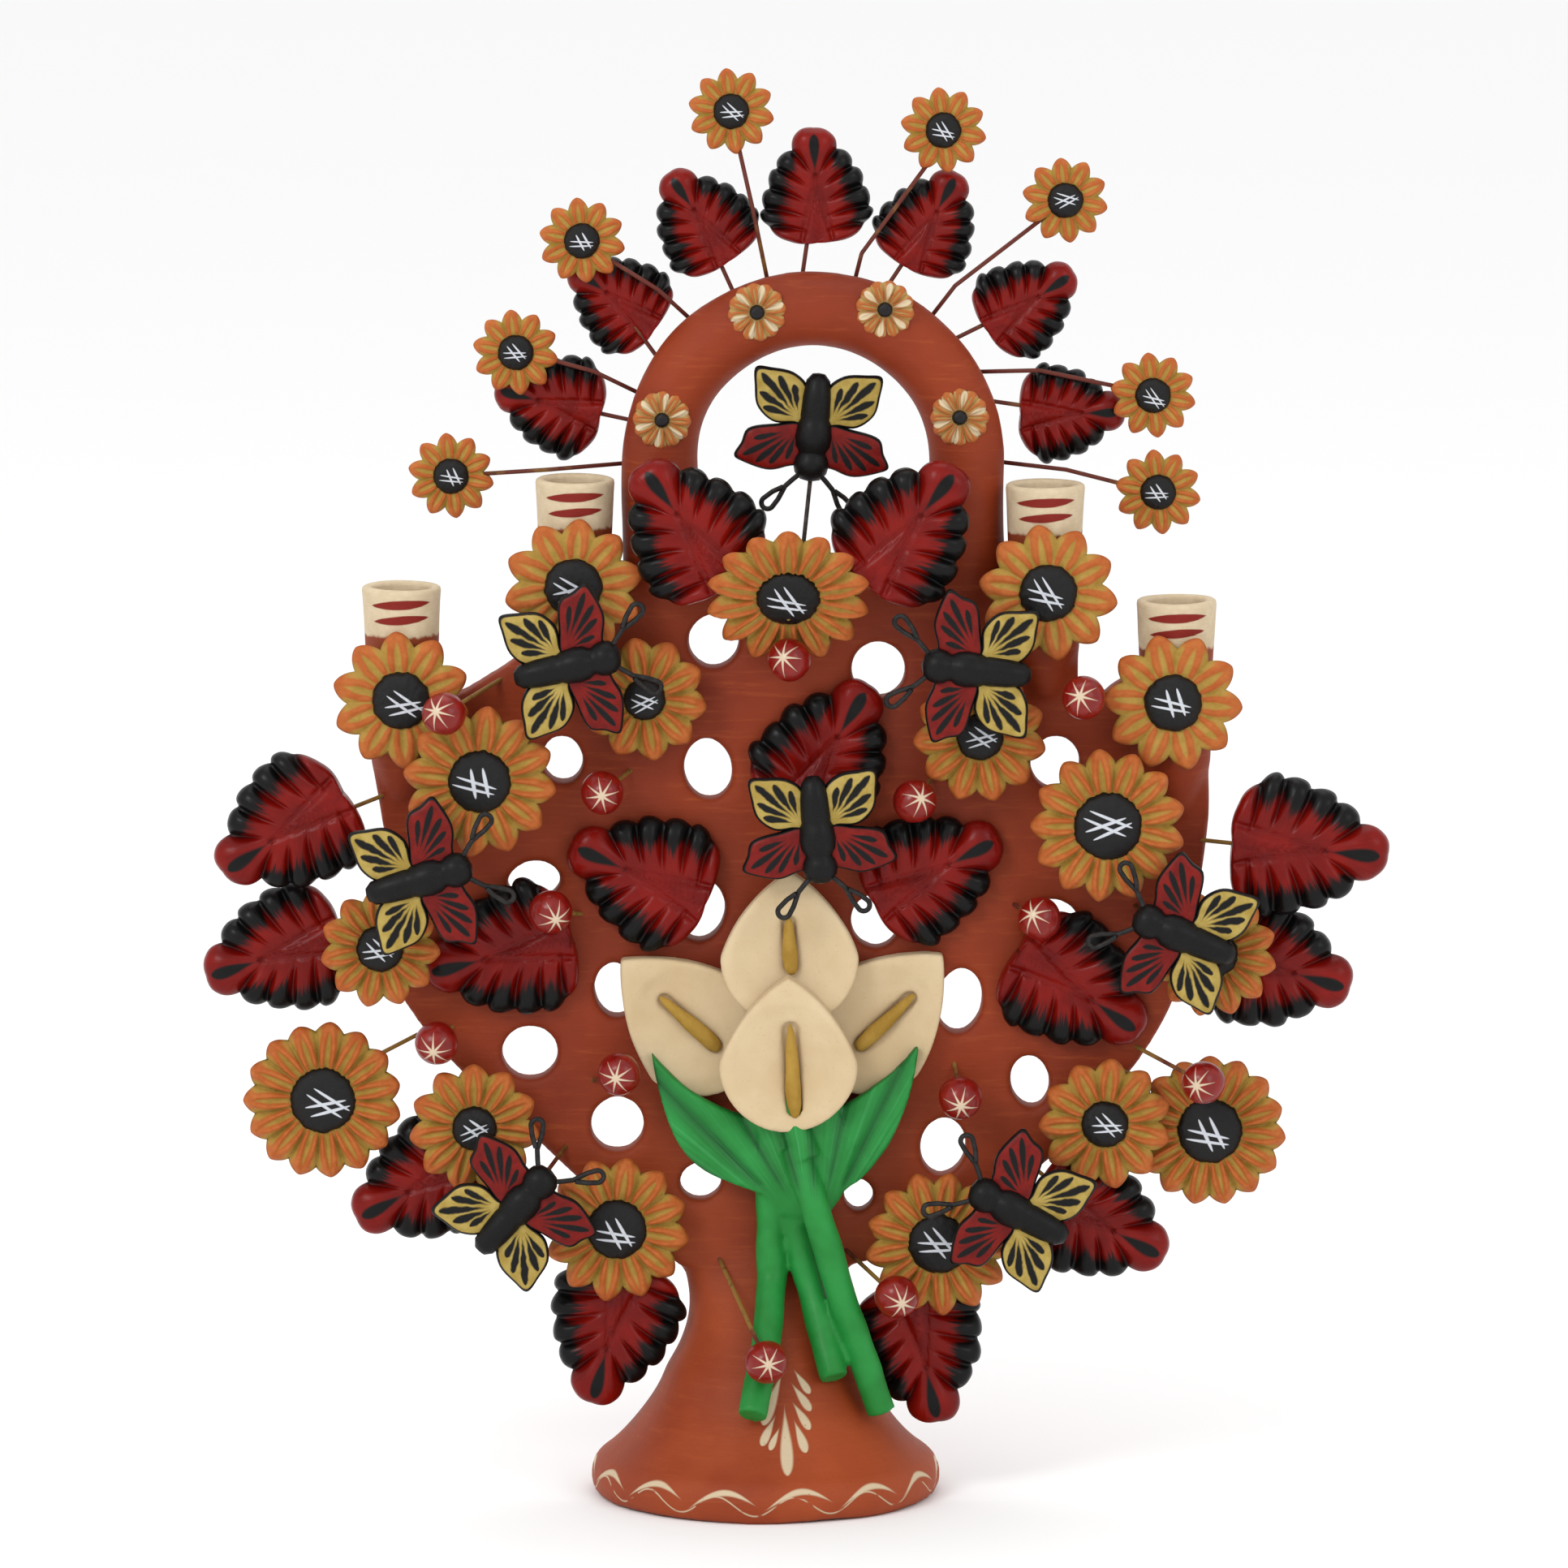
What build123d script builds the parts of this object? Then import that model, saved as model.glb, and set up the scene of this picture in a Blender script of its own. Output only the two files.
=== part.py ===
from build123d import *
from math import cos, pi, sin
import os

# Clay tree of life with four candle cups: a bell foot, a pierced fan, an arch, and clay
# ornaments on wires. Millimetres, +Z up, front towards -Y, origin at the base's height.

FAN_THICK = 14.0  # the fan is a slab centred on Y = 0
FAN_FRONT = -FAN_THICK / 2
FOOT_X = -10.0  # the foot stands a little left of the middle
FOOT_RIM_R = 65.0
FAN_BASE_Z = 86.0  # where the foot's neck ends and the fan starts
FAN_TOP_Z = 341.0
ARCH_X = 7.5
ARCH_Z = 386.0  # springing of the half circle
ARCH_R = 56.5
ARCH_TUBE_R = 14.0
ARCH_Y = 5.0
CUP_Y = -6.0
CUP_R = 14.6
CUP_FOOT_R = 13.4
CUP_H = 27.0
BORE_R = 10.75
BORE_DEEP = 22.0
POST_R = 13.0
WIRE_R = 0.8
HOLE_DEEP = 3.0  # how far a wire goes into the clay
FIXED_GAP = 0.1  # round a wire that is cemented in
LOOSE_GAP = 0.3  # round a wire that carries a swaying ornament
LEAF_THICK = 7.0
PETAL_THICK = 4.0
DISC_PROUD = 3.0
WING_THICK = 3.5
BERRY_R = 8.0
LILY_THICK = 8.0

LEAF_Y = -9.0  # back faces of the ornaments in front of the fan
FLOWER_Y = -18.0
CUP_FLOWER_Y = -21.0
LARGE_FLOWER_Y = -28.5
HALO_LEAF_Y = 21.0
HALO_FLOWER_Y = 13.0
HALO_WIRE_Y = 15.0

CUPS = {  # x, height of the mouth
    "outer_left": (-144.0, 341.0),
    "inner_left": (-80.0, 381.0),
    "inner_right": (93.0, 379.0),
    "outer_right": (141.5, 336.0),
}
CUP_FLOWERS = {  # x, z, petals, spin
    "outer_left": (-144.0, 301.0, 10, 4),
    "inner_left": (-80.5, 343.0, 10, -6),
    "inner_right": (94.0, 341.0, 10, 9),
    "outer_right": (140.0, 300.0, 10, 14),
}
ARCH_DAISIES = [(-13.0, 443.0), (34.0, 444.0), (-48.0, 403.0), (61.5, 404.0)]
FLOWERS = {  # x, z, radius, disc, petals, back face, spin, tip forward
    "top": (-1.5, 342.0, 30.0, 12.0, 14, -31.5, 0, 28),
    "upper_left": (-54.5, 301.0, 23.0, 8.0, 10, FLOWER_Y, 10, 0),
    "upper_right": (69.0, 287.0, 24.5, 9.0, 11, FLOWER_Y, 5, 0),
    "large_left": (-115.0, 272.0, 28.0, 12.0, 12, LARGE_FLOWER_Y, 8, 0),
    "large_right": (116.0, 255.5, 28.5, 13.0, 13, LARGE_FLOWER_Y, 0, 0),
    "mid_left": (-152.0, 209.0, 22.0, 9.0, 11, -24.0, 12, 0),
    "mid_right": (155.0, 207.0, 23.5, 9.5, 12, -24.0, 3, 0),
    "round_left": (-173.5, 151.0, 29.0, 12.5, 15, FLOWER_Y, 0, 0),
    "round_right": (154.5, 138.0, 28.0, 12.5, 15, LEAF_Y, 6, 0),
    "middle_left": (-117.5, 140.5, 24.0, 8.5, 11, FLOWER_Y, 9, 0),
    "middle_right": (115.5, 142.0, 24.5, 9.0, 11, FLOWER_Y, 2, 0),
    "lower_left": (-65.0, 102.5, 27.0, 11.5, 12, FLOWER_Y, 6, 0),
    "lower_right": (54.0, 97.0, 27.0, 11.5, 13, FLOWER_Y, 11, 0),
}
LEAVES = {  # node: list of x, z, length, width, spin, back face
    "leaves_arch": [(-39.5, 367.5, 54, 52, 36, -25.5), (44.0, 367.0, 54, 52, -38, -25.5)],
    "leaf_centre": [(14.0, 281.5, 55, 52, -31, LEAF_Y)],
    "leaves_middle": [(-57.0, 234.5, 54, 52, 66, LEAF_Y), (53.5, 236.0, 52, 50, -62, LEAF_Y)],
    "leaves_far_upper": [(-188.0, 251.0, 54, 52, 124, -16.5), (191.0, 245.0, 57, 54, -95, -16.5)],
    "leaves_far_lower": [(-192.0, 204.0, 53, 50, 108, LEAF_Y), (180.5, 199.0, 54, 52, -106, LEAF_Y)],
    "leaves_inner": [(-109.0, 204.0, 56, 52, 104, LEAF_Y), (106.5, 190.5, 55, 52, -125, LEAF_Y)],
    "leaves_lower": [(-138.0, 117.5, 54, 50, 118, LEAF_Y), (114.5, 103.0, 54, 50, -118, LEAF_Y)],
    "leaves_bottom": [(-67.5, 61.0, 54, 51, 165, LEAF_Y), (48.5, 54.0, 54, 50, -168, LEAF_Y)],
}
HALO_LEAVES = [  # x, z, size, spin
    (-34.5, 475.0, 39, 34),
    (8.5, 487.0, 42, 2),
    (51.5, 474.0, 39, -28),
    (-66.0, 445.0, 38, 52),
    (88.0, 443.5, 38, -55),
    (-90.5, 406.0, 40, 75),
    (103.5, 402.0, 38, -88),
]
HALO_LEAF_ROOTS = [
    (-22.5, 449.0), (4.0, 456.0), (36.0, 451.0), (-50.5, 424.0), (62.0, 431.0), (-61.0, 400.0), (75.5, 406.5)
]
HALO_FLOWERS = [  # x, z, then the wire's points inwards to the arch
    (-22.5, 515.0, [(-19.5, 500.0), (-14.5, 478.0), (-9.0, 451.0)]),
    (55.5, 508.0, [(50.0, 494.0), (25.5, 462.0), (23.0, 452.0)]),
    (100.5, 482.0, [(90.0, 473.5), (60.0, 450.0), (50.0, 437.0)]),
    (-77.5, 467.0, [(-66.5, 459.0), (-49.5, 448.5), (-37.0, 437.0)]),
    (-102.0, 425.5, [(-88.5, 423.0), (-73.0, 418.0), (-55.5, 409.5)]),
    (133.0, 409.5, [(119.5, 413.0), (91.0, 418.5), (69.5, 418.0)]),
    (-126.0, 379.5, [(-110.0, 380.5), (-90.0, 381.5), (-61.0, 384.0)]),
    (135.0, 373.5, [(121.0, 376.5), (101.0, 381.5), (76.0, 384.5)]),
]
BUTTERFLIES = {  # x, z, back of the wings, spin, wire root (x, z)
    "upper_left": (-82.0, 316.0, -35.0, -77, (-86.0, 296.0)),
    "upper_right": (67.0, 314.5, -34.0, 84, (66.0, 316.0)),
    "centre": (9.0, 254.5, -34.0, -175, (7.0, 247.0)),
    "mid_left": (-136.5, 238.0, -44.0, -74, (-139.0, 236.0)),
    "mid_right": (143.5, 216.0, -37.0, 67, (127.0, 221.5)),
    "lower_left": (-102.0, 113.0, -34.0, -41, (-84.0, 131.0)),
    "lower_right": (83.0, 112.0, -34.0, 62, (78.0, 128.0)),
}
ARCH_BUTTERFLY = (8.0, 399.0, 0.0, 175)
ARCH_BUTTERFLY_ROOT = (2.5, FAN_TOP_Z)
BERRIES = [  # x, y, z, wire root (x, z)
    (-128.0, -42.0, 299.0, (-108.0, 306.0)),
    (-1.0, -32.5, 317.5, (-5.0, 308.0)),
    (107.0, -33.0, 303.5, (104.0, 294.0)),
    (-70.0, -25.0, 267.0, (-60.0, 272.0)),
    (45.0, -25.0, 263.5, (52.0, 270.0)),
    (-89.0, -26.0, 222.5, (-78.0, 218.5)),
    (91.0, -26.0, 220.0, (82.0, 222.0)),
    (-131.5, -22.0, 172.5, (-126.0, 176.0)),
    (-64.0, -24.0, 161.5, (-74.0, 156.0)),
    (151.5, -31.0, 159.5, (127.5, 168.5)),
    (62.0, -22.0, 152.0, (60.0, 162.0)),
    (38.5, -34.0, 79.5, (20.0, 92.0)),
    (-9.5, -54.5, 59.0, (-27.0, 88.5)),
]
FAN_HOLES = [  # x, z, width, height
    (-29.0, 320.0, 19, 20),
    (-31.0, 272.5, 18, 23),
    (31.5, 309.5, 20, 21),
    (-85.0, 276.0, 15, 18),
    (97.0, 274.5, 18, 20),
    (-95.5, 230.5, 20, 15),
    (-34.0, 219.5, 18, 23),
    (30.5, 215.5, 18, 20),
    (96.0, 214.5, 20, 18),
    (-65.5, 189.5, 16, 21),
    (62.0, 185.5, 17, 25),
    (-97.0, 166.0, 21, 20),
    (-65.0, 139.0, 20, 21),
    (88.0, 155.0, 14, 20),
    (55.5, 130.5, 17, 22),
    (-34.0, 117.5, 16, 14),
    (24.5, 112.5, 11, 12),
]

os.makedirs("parts", exist_ok=True)
fixed_wires = []  # every wire that the body holds still
fan_sockets = []
arch_sockets = []


def save(name, *solids):
    whole = solids[0] if len(solids) == 1 else Compound(children=list(solids))
    export_step(whole, f"parts/{name}.step")


def facing(x, y, z, spin=0.0, tip=0.0):
    """Places a shape drawn in XY so that its face looks towards -Y and its top towards +Z."""
    return Pos(x, y, z) * Rot(90, 0, 0) * Rot(X=tip) * Rot(Z=spin)


def rod(points, radius):
    """A round wire through the points, with an easy bend at each inner one."""
    points = [Vector(*p) for p in points]
    run = points[1] - points[0]
    if len(points) == 2:
        flush = (Align.CENTER, Align.CENTER, Align.MIN)
        return Plane(origin=points[0], z_dir=run) * Cylinder(radius, run.length, align=flush)
    path = FilletPolyline(*points, radius=max(4.0, 2.5 * radius))
    return sweep(Plane(origin=points[0], z_dir=run) * Circle(radius), path=path)


def beyond(a, b, distance):
    """The point past b, on the line from a."""
    a, b = Vector(*a), Vector(*b)
    end = b + (b - a).normalized() * distance
    return (end.X, end.Y, end.Z)


def dome(radius, height):
    ball_r = (radius**2 + height**2) / (2 * height)
    block = Pos(0, 0, height / 2) * Box(3 * radius, 3 * radius, height)
    return (Pos(0, 0, height - ball_r) * Sphere(ball_r)) & block


def petal_ring(radius, petals, valley):
    arcs = []
    step = 2 * pi / petals
    for i in range(petals):
        start, middle, end = i * step, (i + 0.5) * step, (i + 1) * step
        low_1 = (valley * radius * cos(start), valley * radius * sin(start))
        low_2 = (valley * radius * cos(end), valley * radius * sin(end))
        top = (radius * cos(middle), radius * sin(middle))
        side = 0.5 * (1 + valley) * 1.02 * radius
        up = (side * cos(start + 0.2 * step), side * sin(start + 0.2 * step))
        down = (side * cos(end - 0.2 * step), side * sin(end - 0.2 * step))
        arcs += [ThreePointArc(low_1, up, top), ThreePointArc(top, down, low_2)]
    return extrude(make_face(arcs), PETAL_THICK)


def sunflower(radius, disc, petals, valley=0.78, proud=DISC_PROUD):
    button = Cylinder(disc, PETAL_THICK, align=(Align.CENTER, Align.CENTER, Align.MIN))
    button = button + Pos(0, 0, PETAL_THICK) * dome(disc, proud)
    return petal_ring(radius, petals, valley) + button


def leaf_blank(length, width, thick=LEAF_THICK):
    """Broad clay leaf with a round base and four lobes down each side, tip towards +Y."""
    right = [(0, -0.50), (0.33, -0.42), (0.455, -0.21), (0.43, 0.03), (0.34, 0.23), (0.17, 0.37), (0, 0.50)]
    bulges = [(0.19, -0.49), (0.475, -0.34), (0.50, -0.08), (0.435, 0.15), (0.285, 0.335), (0.105, 0.465)]
    arcs = []
    for side in (1, -1):
        for a, m, b in zip(right, bulges, right[1:]):
            ends = [(side * p[0] * width, p[1] * length) for p in (a, m, b)]
            arcs.append(ThreePointArc(*ends))
    return extrude(make_face(arcs), thick)


def butterfly_clay():
    """Head towards +Y, wings' backs on Z = 0: long body, two fore wings and two hind wings."""
    body = Pos(0, -1.5, 2.5) * Rot(90, 0, 0) * Cylinder(4.9, 27)
    body = body + Pos(0, 13.5, 2.5) * Sphere(6.2) + Pos(0, -15.0, 2.5) * Sphere(5.5)
    for side in (1, -1):
        fore = [(side * x, y) for x, y in ((2, 12), (15, 17), (28, 13.5), (24, 4), (15, 0), (2, -2))]
        hind = [(side * x, y) for x, y in ((2, -1), (14, -1.5), (21, -9), (22, -22), (11, -19.5), (2, -13))]
        for edge in (fore, hind):
            body = body + extrude(make_face(Polyline(*edge, close=True)), WING_THICK)
    return body


def feeler(side):
    """One antenna: a thin wire whose far end is bent back into a narrow loop."""
    loop = SlotOverall(13, 5.5) - SlotOverall(10.2, 2.7)
    loop = extrude(loop, 1.4)
    loop = Pos(side * 14.5, 28.0, 1.8) * Rot(0, 0, 90 - side * 35) * loop
    stalk = rod([(side * 3.5, 19.0, 2.5), (side * 10.9, 22.9, 2.5)], 0.6)
    return stalk + loop


def tear_outline(width, length):
    """Lily blade: pointed at +Y, round at the bottom, widest a third of the way up."""
    half = width / 2
    low = -length / 2 + half
    tip = (0, length / 2)
    arcs = []
    for side in (1, -1):
        arcs.append(ThreePointArc((side * half, low), (side * half * 0.66, low + 0.52 * (tip[1] - low)), tip))
        arcs.append(ThreePointArc((side * half, low), (side * half * 0.7, low - half * 0.714), (0, low - half)))
    return make_face(arcs)


def lily_blade(width, length, thick):
    blade = extrude(tear_outline(width, length), thick)
    hollow_r, hollow_deep = 70.0, 3.4
    return blade - Pos(0, -2, thick - hollow_deep + hollow_r) * Sphere(hollow_r)


def spadix(length, radius):
    stalk = Rot(90, 0, 0) * Cylinder(radius, length - 2 * radius)
    for end in (1, -1):
        stalk = stalk + Pos(0, end * (length / 2 - radius), 0) * Sphere(radius)
    return stalk


def peg(x, y_front, z, root, y_root=FAN_FRONT):
    """Straight wire from an ornament at (x, y_front, z) back into the fan at the root."""
    start = (x, y_front, z)
    end = beyond(start, (root[0], y_root, root[1]), HOLE_DEEP)
    fixed_wires.append(rod([start, end], WIRE_R))
    socket = rod([start, end], WIRE_R + FIXED_GAP)
    fan_sockets.append(socket)
    return socket


# ---- foot: a hollow bell with a rounded rim, drawn up into a flattened neck ----
def make_foot():
    rim_top = 14.0
    with BuildPart() as foot:
        with BuildSketch(Plane.XZ):
            with BuildLine():
                Line((0, 0), (FOOT_RIM_R - 1.5, 0))
                ThreePointArc((FOOT_RIM_R - 1.5, 0), (FOOT_RIM_R, 7), (62, rim_top))
                Spline((62, rim_top), (54, 20.5), (44.5, 32), (37, 47), tangents=((-0.9, 0.5), (-0.3, 1)))
                Line((37, 47), (0, 47))
                Line((0, 47), (0, 0))
            make_face()
        revolve(axis=Axis.Z)
        for height, half_x, half_y in ((47, 37, 37), (57, 31.5, 29), (70, 28, 19), (FAN_BASE_Z, 32, 8)):
            with BuildSketch(Plane.XY.offset(height)):
                Ellipse(half_x, half_y)
        loft()
    hollow = [(FOOT_RIM_R - 8, 0), (46, 20.5), (37.5, 32), (30, 47), (0, 56)]
    with BuildPart() as bell:
        with BuildSketch(Plane.XZ):
            with BuildLine():
                Polyline(*hollow, (0, 0), close=True)
            make_face()
        revolve(axis=Axis.Z)
    return Pos(FOOT_X, 0, 0) * (foot.part - bell.part)


# ---- fan: the pierced slab, its four candle posts and the shoulders under the arch ----
def fan_outline():
    left_leg = ARCH_X - ARCH_R - ARCH_TUBE_R
    right_leg = ARCH_X + ARCH_R + ARCH_TUBE_R
    cup_base = {name: top - CUP_H for name, (x, top) in CUPS.items()}
    post = {name: (x - POST_R + 1, x + POST_R - 1) for name, (x, top) in CUPS.items()}
    edge_left = Spline((-42, FAN_BASE_Z), (-53, 95), (-83, 122.5), (-122.5, 159), (-140, 180), (-146, 190))
    edge_left_up = Spline((-146, 190), (-151, 250), (-156, 276))
    edge_right = Spline((22, FAN_BASE_Z), (52, 96.5), (97, 127.5), (128.5, 164), (140, 184), (145, 201))
    edge_right_up = Spline((145, 201), (151, 230), (153.5, 276))
    top = Polyline(
        (-156, 276),
        (post["outer_left"][0], 290),
        (post["outer_left"][0], cup_base["outer_left"]),
        (post["outer_left"][1], cup_base["outer_left"]),
        (post["outer_left"][1], 297),
        (-121, 301),
        (-105, 311),
        (post["inner_left"][0], 322),
        (post["inner_left"][0], cup_base["inner_left"]),
        (post["inner_left"][1], cup_base["inner_left"]),
        (post["inner_left"][1], 340),
        (left_leg, FAN_TOP_Z),
        (right_leg, FAN_TOP_Z),
        (post["inner_right"][0], 340),
        (post["inner_right"][0], cup_base["inner_right"]),
        (post["inner_right"][1], cup_base["inner_right"]),
        (post["inner_right"][1], 301),
        (111, 297),
        (119, 304),
        (post["outer_right"][0], 309),
        (post["outer_right"][1], 309),
        (post["outer_right"][1], 290),
        (153.5, 276),
    )
    base = Line((-42, FAN_BASE_Z), (22, FAN_BASE_Z))
    return make_face([edge_left, edge_left_up, top, edge_right_up, edge_right, base])


def make_fan():
    face = fan_outline()
    for i, (x, z, width, height) in enumerate(FAN_HOLES):
        lean = 8 if i % 2 else -8
        face = face - Pos(x, z) * Rot(Z=lean) * Ellipse(width / 2, height / 2)
    slab = Pos(0, FAN_THICK / 2, 0) * Rot(90, 0, 0) * extrude(face, FAN_THICK)
    for x, top in CUPS.values():
        post_top = top - CUP_H
        post_len = 34.0
        slab = slab + Pos(x, CUP_Y, post_top - post_len / 2) * Cylinder(POST_R, post_len)
        slab = slab + Pos(x, CUP_Y, post_top - post_len - 9) * Cone(5, POST_R, 18)
    for side in (1, -1):
        leg = ARCH_X + side * ARCH_R
        slab = slab + Pos(leg, ARCH_Y, FAN_TOP_Z - 20) * Cone(7, ARCH_TUBE_R, 40)
    for socket in fan_sockets:
        slab = slab - socket
    return slab


def make_arch():
    left = (ARCH_X - ARCH_R, ARCH_Y, FAN_TOP_Z)
    left_up = (ARCH_X - ARCH_R, ARCH_Y, ARCH_Z)
    crown = (ARCH_X, ARCH_Y, ARCH_Z + ARCH_R)
    right_up = (ARCH_X + ARCH_R, ARCH_Y, ARCH_Z)
    right = (ARCH_X + ARCH_R, ARCH_Y, FAN_TOP_Z)
    path = Line(left, left_up) + ThreePointArc(left_up, crown, right_up) + Line(right_up, right)
    return sweep(Plane(origin=left, z_dir=(0, 0, 1)) * Circle(ARCH_TUBE_R), path=path)


def make_cup(x, top):
    cup = Pos(0, 0, top - CUP_H / 2) * Cone(CUP_FOOT_R, CUP_R, CUP_H)
    bore = Pos(0, 0, top - BORE_DEEP / 2) * Cylinder(BORE_R, BORE_DEEP)
    return Pos(x, CUP_Y, 0) * (cup - bore)


# ---- flowers and leaves fixed on the front of the fan ----
FLOWER_ROOTS = {
    "top": (-1.5, 333.0),
    "upper_left": (-54.5, 301.0),
    "upper_right": (69.0, 287.0),
    "large_left": (-108.0, 263.0),
    "large_right": (110.0, 250.0),
    "mid_left": (-139.0, 206.0),
    "mid_right": (139.0, 203.0),
    "middle_left": (-106.0, 150.0),
    "middle_right": (111.0, 148.0),
    "lower_left": (-56.0, 111.0),
    "lower_right": (47.0, 104.0),
}


def make_flower(name):
    x, z, radius, disc, petals, back, spin, tip = FLOWERS[name]
    valley = 0.86 if name.startswith("round") else 0.78
    flower = facing(x, back, z, spin, tip) * sunflower(radius, disc, petals, valley)
    if name in FLOWER_ROOTS:
        root = FLOWER_ROOTS[name]
        return flower - peg(root[0], back - 2.0, root[1], root)
    side = -1 if name == "round_left" else 1
    edge = {"round_left": (-141.0, 172.0), "round_right": (121.0, 160.5)}[name]
    start = (x - side * radius * 0.55, back - 2.0, z + radius * 0.5)
    return flower - peg(start[0], start[1], start[2], edge)


LEAF_ROOTS = {
    "leaves_arch": [(-31.0, 340.0), (37.0, 340.0)],
    "leaf_centre": [(7.0, 272.0)],
    "leaves_middle": [(-44.0, 237.0), (44.0, 236.0)],
    "leaves_far_upper": [(-152.0, 262.5), (153.0, 246.0)],
    "leaves_far_lower": [(-147.0, 213.0), (146.5, 212.0)],
    "leaves_inner": [(-110.0, 206.0), (108.0, 193.0)],
    "leaves_lower": [(-118.0, 156.0), (88.0, 124.5)],
    "leaves_bottom": [(-52.0, 99.0), (34.0, 96.0)],
}


def make_leaves(node):
    made = []
    for leaf, root in zip(LEAVES[node], LEAF_ROOTS[node]):
        x, z, length, width, spin, back = leaf
        clay = facing(x, back, z, spin) * leaf_blank(length, width)
        reach = 0.35
        start = (x + (root[0] - x) * reach, back - 2.5, z + (root[1] - z) * reach)
        made.append(clay - peg(start[0], start[1], start[2], root))
    return made


def make_halo():
    leaves = []
    for (x, z, size, spin), root in zip(HALO_LEAVES, HALO_LEAF_ROOTS):
        middle_y = HALO_LEAF_Y - 3.0
        inner = Vector(root[0], HALO_WIRE_Y, root[1])
        outer = Vector(x, middle_y, z)
        start = outer + (inner - outer).normalized() * size * 0.35
        end = beyond(tuple(start), tuple(inner), HOLE_DEEP)
        fixed_wires.append(rod([tuple(start), end], WIRE_R))
        socket = rod([tuple(start), end], WIRE_R + FIXED_GAP)
        arch_sockets.append(socket)
        leaves.append(facing(x, HALO_LEAF_Y, z, spin) * leaf_blank(size, size, 6.0) - socket)
    return leaves


def make_halo_flower(x, z, points):
    petal_middle = HALO_FLOWER_Y - PETAL_THICK / 2
    tip = Vector(points[0][0], petal_middle, points[0][1])
    bend = (points[1][0], HALO_WIRE_Y - 2.0, points[1][1])
    root = (points[2][0], HALO_WIRE_Y - 2.0, points[2][1])
    inside = tip + (Vector(x, petal_middle, z) - tip).normalized() * 4.0
    path = [tuple(inside), bend, beyond(bend, root, HOLE_DEEP)]
    wire = rod(path, WIRE_R)
    arch_sockets.append(rod([path[1], beyond(path[1], path[2], LOOSE_GAP)], WIRE_R + LOOSE_GAP))
    flower = facing(x, HALO_FLOWER_Y, z, 7) * sunflower(15.8, 6.8, 10, proud=2.0)
    return flower - rod(path[:2], WIRE_R + FIXED_GAP), wire


def make_butterfly(name):
    x, z, back, spin, root = BUTTERFLIES[name]
    place = facing(x, back, z, spin)
    start = (x + 0.25 * (root[0] - x), back - 1.5, z + 0.25 * (root[1] - z))
    end = beyond(start, (root[0], FAN_FRONT, root[1]), HOLE_DEEP)
    clay = place * butterfly_clay()
    wire = rod([start, end], WIRE_R) - clay
    fan_sockets.append(rod([start, beyond(start, end, LOOSE_GAP)], WIRE_R + LOOSE_GAP))
    return [clay, place * feeler(1), place * feeler(-1), wire]


def make_arch_butterfly():
    x, z, back, spin = ARCH_BUTTERFLY
    place = facing(x, back, z, spin)
    start = (x - 1.0, back - 2.5, z - 15.0)
    end = beyond(start, (ARCH_BUTTERFLY_ROOT[0], -1.0, ARCH_BUTTERFLY_ROOT[1]), HOLE_DEEP)
    clay = place * butterfly_clay()
    wire = rod([start, end], WIRE_R) - clay
    fan_sockets.append(rod([start, beyond(start, end, LOOSE_GAP)], WIRE_R + LOOSE_GAP))
    return [clay, place * feeler(1), place * feeler(-1), wire]


def make_berries():
    made = []
    for x, y, z, root in BERRIES:
        y_root = FAN_FRONT
        centre = Vector(x, y, z)
        aim = Vector(root[0], y_root, root[1])
        start = centre + (aim - centre).normalized() * (BERRY_R - 3.0)
        made.append(Pos(x, y, z) * Sphere(BERRY_R) - peg(start.X, start.Y, start.Z, root))
    return made


# ---- the lily bouquet on the lower middle of the fan ----
def make_bouquet():
    side_y, top_y, front_y = FAN_FRONT, FAN_FRONT - LILY_THICK, FAN_FRONT - 2 * LILY_THICK
    size = (51.0, 58.0, LILY_THICK)
    blades = {
        "lily_left": facing(-40.0, side_y, 180.5, 47) * lily_blade(50, 64, LILY_THICK),
        "lily_right": facing(33.5, side_y, 181.5, -44) * lily_blade(50, 64, LILY_THICK),
        "lily_top": facing(-1.0, top_y, 208.0) * lily_blade(*size),
        "lily_front": facing(-1.5, front_y, 169.5) * lily_blade(*size),
    }
    gap = 2.6
    spikes = {
        "lily_left": facing(-38.0, side_y - LILY_THICK + gap, 178.5, 48) * spadix(30, 2.6),
        "lily_right": facing(34.5, side_y - LILY_THICK + gap, 179.0, -46) * spadix(30, 2.6),
        "lily_top": facing(-1.0, top_y - LILY_THICK + gap, 209.0, 3) * spadix(22, 2.7),
        "lily_front": facing(0.0, front_y - LILY_THICK + gap, 163.5, 3) * spadix(36, 3.0),
    }
    blades["lily_right"] = blades["lily_right"] - blades["lily_left"]
    for name, blade in blades.items():
        save(name, blade - spikes[name])
    save("lily_spadices", *spikes.values())
    make_bouquet_greens(top_y)


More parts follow.
